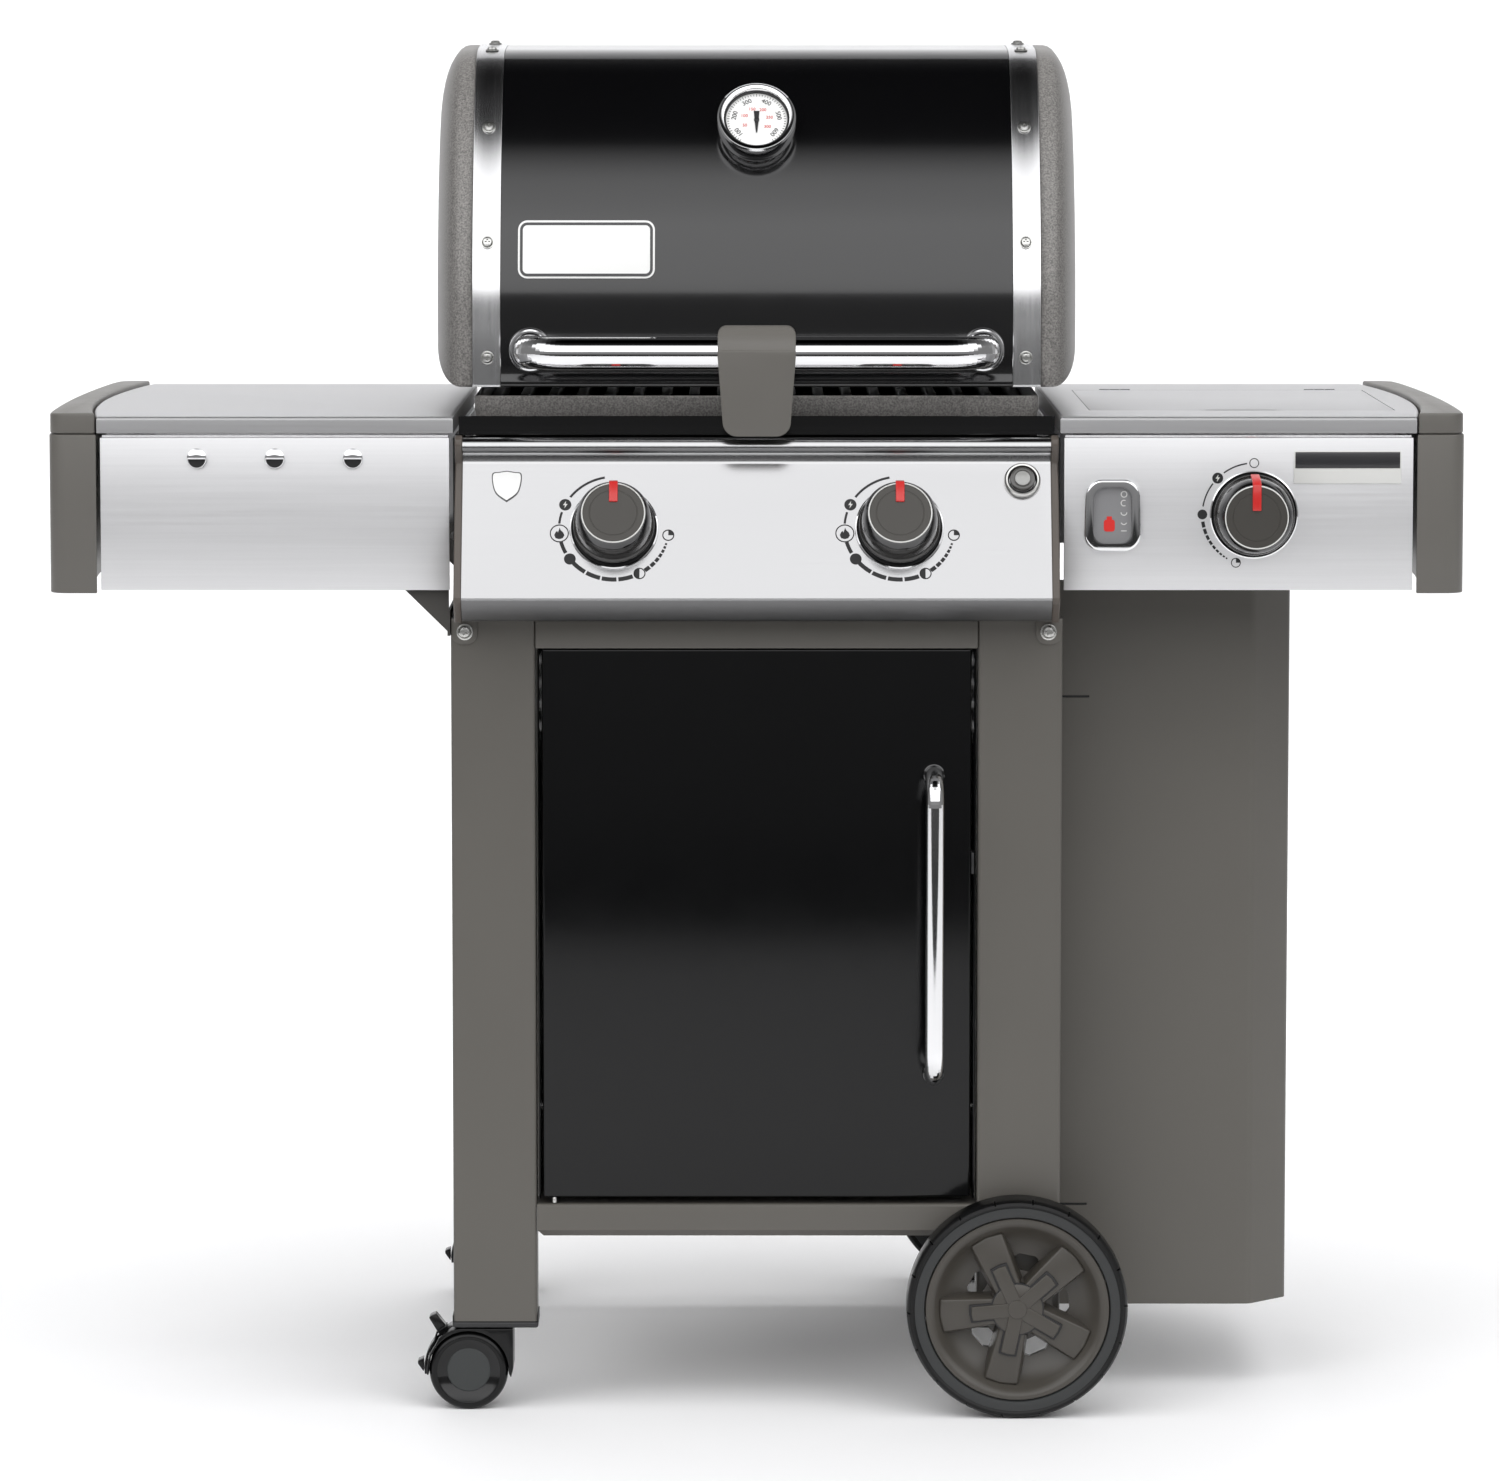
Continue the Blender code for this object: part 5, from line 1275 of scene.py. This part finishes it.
# ------------------------------------------------------------------ wheels
# Each wheel has a rubber tyre with a grey side wall and a black notched tread. The hub is a
# moulded warm-grey dish with five broad spokes, and a five-armed cap covers the axle end.
rubber = grained("tread_rubber", (0.0016, 0.0016, 0.0018), 0.36, 900.0, 0.00010)
side_rubber = grained("side_rubber", (0.020, 0.0215, 0.022), 0.50, 1200.0, 0.00005)
hub_plastic = grained("hub_plastic", (0.048, 0.043, 0.036), 0.34, 2400.0, 0.00006)
axle_x, axle_z = 0.240, 0.1019


def swing(bm, degrees):
    """Turn a shape about Z."""
    bmesh.ops.rotate(bm, cent=(0, 0, 0), matrix=Matrix.Rotation(math.radians(degrees), 3, "Z"),
                     verts=bm.verts)
    return bm


def spoke_shape(angle, inner, outer, half_inner, half_outer, low, high, width, taper=0.0, drop=0.0):
    """A bar that runs out from the middle, with sides that can lean in and a top that can fall."""
    bar = drawn_out([(inner, -half_inner), (outer, -half_outer), (outer + half_outer * 0.12, 0),
                     (outer, half_outer), (inner, half_inner)], "z", low, high)
    for vert in bar.verts:
        if vert.co.z > (low + high) / 2:
            vert.co.y *= 1 - taper
            vert.co.z -= drop * (vert.co.x / outer) ** 2
            if vert.co.x > inner + 0.001:
                vert.co.x -= taper * 0.012
    return swing(soften(bar, width, 3), angle)


for node, out in (("front", -1), ("rear", 1)):
    low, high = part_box(node + "_tyre")
    centre = Vector((axle_x, low.y if out < 0 else high.y, (low.z + high.z) / 2))
    face_way = (0, out, 0)
    tyre = turned([(0.0945, -0.0010), (0.0968, 0.0), (0.0995, -0.0008), (0.1012, -0.0030),
                   (0.1019, -0.0065), (0.1019, -0.0335), (0.1010, -0.0375), (0.0985, -0.0400),
                   (0.0945, -0.0390)], 96)
    notches = [swing(slab((0.0985, -0.0008, -0.0100), (0.106, 0.0008, 0.01)), 2 + 20 * i)
               for i in range(18)]
    fit(set_at(carve(tyre, together(*notches)), centre, face_way), node + "_tyre_tread", rubber,
        node + "_wheel", "tread", [node + "_tyre"], 30)
    wall = [(0.0851, -0.0030), (0.0862, -0.0012), (0.0900, -0.0004), (0.0946, -0.0006),
            (0.0950, -0.0025), (0.0950, -0.0375), (0.0944, -0.0394), (0.0900, -0.0396),
            (0.0862, -0.0388), (0.0851, -0.0370)]
    fit_turned(wall, 96, centre, face_way, node + "_tyre_wall", side_rubber, node + "_wheel", "tread")

    dish = turned([(0.0848, -0.0035), (0.0842, -0.0022), (0.0820, -0.0018), (0.0790, -0.0028),
                   (0.0752, -0.0062), (0.0715, -0.0115), (0.0600, -0.0205), (0.0420, -0.0245),
                   (0.0270, -0.0240), (0.0250, -0.0120), (0.0066, -0.0120), (0.0066, -0.0280),
                   (0.0270, -0.0290), (0.0450, -0.0300), (0.0620, -0.0310), (0.0760, -0.0350),
                   (0.0848, -0.0372)], 90)
    windows = []
    for k in range(5):
        middle = math.radians(78 + 72 * k)
        outline = []
        for r, degrees in ((0.0335, -8), (0.0335, 8), (0.0390, 14), (0.0465, 14.5), (0.0490, 9),
                           (0.0490, -9), (0.0465, -14.5), (0.0390, -14)):
            a = middle + math.radians(degrees)
            outline.append((r * math.cos(a), r * math.sin(a)))
        windows.append(drawn_out(outline, "z", -0.05, 0.01))
    fit(set_at(carve(dish, together(*windows)), centre, face_way), node + "_hub_dish", hub_plastic,
        node + "_wheel", "taupe_plastic", [node + "_wheel_hub"], 32)
    spokes = [spoke_shape(42 + 72 * k, 0.0120, 0.0725, 0.0150, 0.0200, -0.0260, -0.0040, 0.0018,
                          0.24, 0.0050) for k in range(5)]
    fit(set_at(together(*spokes), centre, face_way), node + "_hub_spokes", hub_plastic,
        node + "_wheel", "taupe_plastic")
    # A black star a little larger than the cap, set behind it: painted shadow in the gap around the cap.
    gap_star = [turned([(0, -0.0100), (0.0245, -0.0100), (0.0245, -0.0040), (0, -0.0040)], 48)]
    gap_star += [spoke_shape(42 + 72 * k, 0.0, 0.0436, 0.0083, 0.0083, -0.0100, -0.0037, 0.0006)
                 for k in range(5)]
    fit(set_at(together(*gap_star), centre, face_way), node + "_hub_cap_seat", print_and_shadow_black,
        node + "_wheel", "black_plastic")
    star = [turned([(0.0068, -0.0042), (0.0232, -0.0042), (0.0232, -0.0034), (0.0226, -0.0030),
                    (0.0068, -0.0030)], 48)]
    star += [spoke_shape(42 + 72 * k, 0.0, 0.0418, 0.0066, 0.0066, -0.0080, -0.0016, 0.0010)
             for k in range(5)]
    star.append(turned([(0, -0.0030), (0.0088, -0.0030), (0.0088, -0.0012), (0.0082, -0.0007),
                        (0, -0.0006)], 40))
    fit(set_at(together(*star), centre, face_way), node + "_hub_cap", hub_plastic, node + "_wheel",
        "taupe_plastic")
low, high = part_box("wheel_axle")
axle = turned([(0, 0), (0.0050, 0), (0.0060, 0.0010), (0.0060, high.y - low.y - 0.0010),
               (0.0050, high.y - low.y), (0, high.y - low.y)], 40)
fit(set_at(axle, (axle_x, low.y, axle_z), (0, 1, 0)), "axle_bar", zinc_plate, "cart", "galvanised",
    ["wheel_axle"])


# ------------------------------------------------------------------ casters
# Two black twin-wheel casters carry the left legs. A hood curls over the wheels, a wall runs down
# on the right to the axle, and a brake pedal sticks out over the rim.
caster_black = grained("caster_black", (0.0022, 0.0022, 0.0024), 0.24, 1600.0, 0.00006)
caster_gloss = grained("caster_gloss", (0.002, 0.002, 0.0022), 0.16, 900.0, 0.00002, coat=0.3)
caster_face = grained("caster_face", (0.026, 0.029, 0.029), 0.42, 1800.0, 0.00005)
for dull in (rubber, caster_black, caster_gloss):
    set_shader(dull, "Specular IOR Level", 0.30)
caster_profiles = (
    ("tyres", caster_black, "tread", 40,
     [(0.0293, 0.0244), (0.0305, 0.0250), (0.0335, 0.0244), (0.0356, 0.0226), (0.0365, 0.0195),
      (0.0365, 0.0130), (0.0356, 0.0108), (0.0330, 0.0100), (0.0293, 0.0104)]),
    ("cones", caster_gloss, "black_plastic", 30,
     [(0.0200, 0.0195), (0.0206, 0.0196), (0.0284, 0.0240), (0.0293, 0.0246), (0.0297, 0.0240),
      (0.0297, 0.0106), (0.0200, 0.0106)]),
    ("faces", caster_face, "black_plastic", 30,
     [(0, 0.0202), (0.0194, 0.0202), (0.0203, 0.0196), (0.0203, 0.0100), (0.0068, 0.0090),
      (0.0068, 0), (0, 0)]))
hood_top = 0.0760


def around(hub, radius, start, end, steps):
    """An arc about a caster's axle, cut off level at the top of its hood."""
    return [(x, min(z, hood_top)) for x, z in corner_arc(hub.x, hub.z, radius, start, end - start, steps)]


for node in ("front", "rear"):
    low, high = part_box(node + "_caster_wheel")
    hub = Vector(((low.x + high.x) / 2, (low.y + high.y) / 2, (low.z + high.z) / 2))
    swivel_x = hub.x + 0.025
    for part, material, slot, sharp, profile in caster_profiles:
        pair = [set_at(turned(profile, 64), hub, (0, way, 0)) for way in (-1, 1)]
        fit(together(*pair), node + "_caster_" + part, material, node + "_caster_wheel", slot,
            [node + "_caster_wheel"] if part == "tyres" else (), sharp)

    hood = (around(hub, 0.0390, 186, 142, 6) + around(hub, 0.0412, 132, 112, 4)
            + around(hub, 0.0432, 100, 66, 5)
            + [(hub.x + 0.0262, hood_top), (hub.x + 0.0412, hood_top), (hub.x + 0.0412, 0.0380),
               (hub.x + 0.0392, 0.0300)]
            + around(hub, 0.0373, -4, 186, 18))
    cover = soften(drawn_out(hood, "y", hub.y - 0.0246, hub.y + 0.0246), 0.0008, 2, 40)
    web = soften(drawn_out([(hub.x - 0.012, hub.z - 0.008), (hub.x + 0.012, hub.z - 0.008),
                            (hub.x + 0.0385, 0.0560), (hub.x + 0.0385, 0.0752), (hub.x - 0.020, 0.0752),
                            (hub.x - 0.034, 0.0600)], "y", hub.y - 0.0060, hub.y + 0.0060), 0.0010)
    axle_bore = turned([(0, -0.01), (0.0073, -0.01), (0.0073, 0.01), (0, 0.01)], 32)
    web = carve(web, set_at(axle_bore, hub, (0, 1, 0)))
    neck = set_at(turned([(0, 0.0), (0.0180, 0.0), (0.0180, 0.0018), (0.0170, 0.0022), (0.0052, 0.0022),
                          (0.0050, 0.0310), (0, 0.0310)], 40), (swivel_x, hub.y, 0.0738))
    fit(together(cover, web, neck), node + "_caster_hood", caster_black, node + "_caster",
        "black_plastic", [node + "_caster_fork"])
    band = (around(hub, 0.0418, 188, 142, 6) + around(hub, 0.0455, 132, 118, 3)
            + around(hub, 0.0436, 118, 132, 3) + around(hub, 0.0394, 142, 188, 6))
    tab = [(-0.0374, 0.0468), (-0.0355, 0.0488), (-0.0310, 0.0505), (-0.0185, 0.0350), (-0.0272, 0.0300)]
    spur = [(-0.0425, 0.0085), (-0.0480, 0.0062), (-0.0478, 0.0035), (-0.0425, -0.0040)]
    strips = [soften(drawn_out(line, "y", hub.y - half, hub.y + half), 0.0008, 2, 20) for line, half in (
        (band, 0.0110), ([(hub.x + x, hub.z + z) for x, z in tab], 0.0085),
        ([(hub.x + x, hub.z + z) for x, z in spur], 0.0085))]
    fit(together(*strips), node + "_caster_pedal", caster_black, node + "_brake_pedal",
        "black_plastic", [node + "_brake_pedal"])


# ------------------------------------------------------------------ inside the cooking box
# Two round stainless burners with a row of ports run front to back under folded heat tents. Two
# enamelled cast grates lie over them, and a zinc-plated tray slides in below.
cast_enamel = grained("cast_enamel", (0.020, 0.020, 0.021), 0.52, 700.0, 0.00020)
galvanised = grained("galvanised", (0.42, 0.43, 0.44), 0.38, 90.0, 0.00002, 0.35, 0.2)
set_shader(galvanised, "Metallic", 0.9)
for side, word in ((-1, "left"), (1, "right")):
    x = side * 0.130
    low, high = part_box(word + "_burner")
    length = high.y - low.y
    tube = turned([(0, 0), (0.0100, 0), (0.0115, 0.0015), (0.0115, 0.0120), (0.0105, 0.0140),
                   (0.0105, length - 0.0140), (0.0115, length - 0.0120), (0.0115, length - 0.0010),
                   (0.0105, length), (0, length)], 28)
    fit(set_at(tube, (x, low.y, 0.815), (0, 1, 0)), word + "_burner_tube", bright_band, "cart",
        "polished_stainless", [word + "_burner"])
    # The ports are not cut: each is a small black disc on the tube, painted shade standing for the hole.
    ports = [set_at(turned([(0, 0), (0.0011, 0), (0.0011, 0.0003), (0, 0.0003)], 8),
                    (x + way * 0.0087, low.y + 0.045 + 0.012 * i, 0.815 + 0.0060), (way * 0.82, 0, 0.57))
             for i in range(36) for way in (-1, 1)]
    fit(together(*ports), word + "_burner_ports", ink_and_shade_black, "cart", "polished_stainless")
    low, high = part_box(word + "_heat_tent")
    fold = bend_line([(x - 0.052, 0.8440), (x - 0.049, 0.8415), (x, 0.8700), (x + 0.049, 0.8415),
                      (x + 0.052, 0.8440)], 0.004, 3)
    tent = drawn_out(fold + beside(fold, 0.0016)[::-1], "y", low.y, high.y)
    fit(tent, word + "_tent_fold", brushed_across, "cart", "polished_stainless",
        [word + "_heat_tent"], 25)
    low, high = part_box(word + "_grate")
    bars = [slab((low.x, low.y, 0.9130), (high.x, low.y + 0.010, 0.9250), 0.0018, 2),
            slab((low.x, high.y - 0.010, 0.9130), (high.x, high.y, 0.9250), 0.0018, 2),
            slab((low.x, (low.y + high.y) / 2 - 0.004, 0.9132),
                 (high.x, (low.y + high.y) / 2 + 0.004, 0.9215), 0.0014, 2)]
    count = 10
    for i in range(count):
        left = low.x + i * (high.x - low.x - 0.010) / (count - 1)
        bars.append(slab((left, low.y, 0.9134), (left + 0.010, high.y, 0.9254), 0.0026, 2))
    fit(together(*bars), word + "_grate_bars", cast_enamel, "cart", "cast_iron", [word + "_grate"])
low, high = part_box("grease_tray")
pan = slab((-0.195, low.y, low.z + 0.0005), (0.195, high.y, high.z), 0.004, 3)
rails = [slab((-0.203, low.y, low.z), (0.203, low.y + 0.020, low.z + 0.0020), 0.0006, 1),
         slab((-0.203, high.y - 0.020, low.z), (0.203, high.y, low.z + 0.0020), 0.0006, 1)]
pan = carve(pan, slab((-0.193, low.y + 0.002, low.z + 0.0020),
                      (0.193, high.y - 0.002, high.z + 0.05), 0.003, 2))
fit(together(pan, *rails), "drip_tray", galvanised, "cart", "galvanised", ["grease_tray"])


# ------------------------------------------------------------------ valves, stems and side burner
# Plated valves sit on a square manifold behind the panel, and their flatted stems carry the knobs.
# The side burner has a brass head under a small cast trivet.
brass = grained("brass", (0.55, 0.40, 0.17), 0.32, 900.0, 0.00003)
set_shader(brass, "Metallic", 1.0)
dark_bracket = grained("dark_bracket", (0.050, 0.047, 0.043), 0.42, 1700.0, 0.00005)
for node, body in (("left_valve_stem", "left_stem"), ("right_valve_stem", "right_stem"),
                   ("side_burner_valve_stem", "side_stem")):
    if node.startswith("side"):
        centre, out = side_at, Vector((0, -1, 0))
    else:
        centre, out = panel_at(-0.130 if node.startswith("left") else 0.130, 0.822), panel_out
    stem = turned([(0, -0.0280), (0.0028, -0.0280), (0.0035, -0.0272), (0.0035, 0.0364), (0.0029, 0.0370),
                   (0, 0.0370)], 28)
    stem = carve(stem, slab((0.0022, -0.01, 0.0100), (0.01, 0.01, 0.05)))
    fit(set_at(stem, centre, out), node + "_flatted", zinc_plate, body, "galvanised", [node])
for node, material in (("gas_manifold", galvanised), ("side_burner_valve", galvanised),
                       ("shelf_bracket", dark_bracket)):
    mesh = frame["nodes"][node].data
    mesh.materials.clear()
    mesh.materials.append(material)
burner_at = Vector((0.4538, front + 0.278, 0.0))
fit_turned([(0, 0.8873), (0.0255, 0.8873), (0.0260, 0.8880), (0.0260, 0.8928), (0.0335, 0.8950),
            (0.0340, 0.8958), (0.0340, 0.8984), (0.0330, 0.8994), (0.0260, 0.9010), (0.0080, 0.9008),
            (0, 0.9002)], 72, burner_at, (0, 0, 1), "side_burner_crown", brass, "cart", "brass",
           ["side_burner_head"], 30)
# The jets are not cut: each is a small black block on the crown's rim, painted shade standing for the
# hole.
jets = []
for i in range(28):
    a = math.tau * i / 28
    spot = burner_at + Vector((0.0339 * math.cos(a), 0.0339 * math.sin(a), 0.8970))
    jets.append(slab(spot - Vector((0.0007, 0.0007, 0.0008)), spot + Vector((0.0007, 0.0007, 0.0008))))
fit(together(*jets), "side_burner_jets", ink_and_shade_black, "cart", "brass")
ring = turned([(0.0625, 0.9030), (0.0695, 0.9030), (0.0700, 0.9038), (0.0700, 0.9082),
               (0.0694, 0.9090), (0.0626, 0.9090), (0.0620, 0.9082), (0.0620, 0.9038)], 64)
arms = [set_at(ring, burner_at)]
for i in range(4):
    arm = together(slab((0.0180, -0.0032, 0.9042), (0.1000, 0.0032, 0.9118), 0.0012, 2),
                   slab((0.0900, -0.0050, 0.8874), (0.1000, 0.0050, 0.9104), 0.0014, 2))
    swing(arm, 90 * i)
    bmesh.ops.translate(arm, vec=burner_at, verts=arm.verts)
    arms.append(arm)
fit(together(*arms), "side_burner_trivet", cast_enamel, "cart", "cast_iron", ["side_burner_grate"])


# ------------------------------------------------------------------ hinges at the back
# The lid turns on two steel barrels behind the cooking box, and the hatch on two small ones. Each
# has a middle knuckle on what moves and outer knuckles on what stays.
def barrel(y, z, centre_x, radius, length, name, mover, material, slot):
    """Three knuckles of a hinge along X, the middle one on what moves."""
    for part, start, end, body in (("outer", -0.5, -0.18, "cart"), ("inner", 0.18, 0.5, "cart"),
                                   ("middle", -0.165, 0.165, mover)):
        run = (end - start) * length
        fit_turned([(0, 0), (radius * 0.9, 0), (radius, radius * 0.1), (radius, run - radius * 0.1),
                    (radius * 0.9, run), (0, run)], 24, (centre_x + start * length, y, z), (1, 0, 0),
                   name + "_" + part, material, body, slot)


joint_at = {joint["name"]: Vector(joint["pos_m"]) for joint in frame["joints"] if "pos_m" in joint}
lid_joint, hatch_joint = joint_at["lid_hinge"], joint_at["side_burner_lid_hinge"]
for x in (-0.180, 0.180):
    barrel(lid_joint.y, lid_joint.z, x, 0.0042, 0.060, "lid_hinge_left" if x < 0 else "lid_hinge_right",
           "lid", zinc_plate, "galvanised")
for x in (0.350, 0.550):
    barrel(hatch_joint.y, hatch_joint.z - 0.0006, x, 0.0016, 0.030,
           "hatch_hinge_left" if x < 0.45 else "hatch_hinge_right", "side_burner_lid", bright_band,
           "polished_stainless")
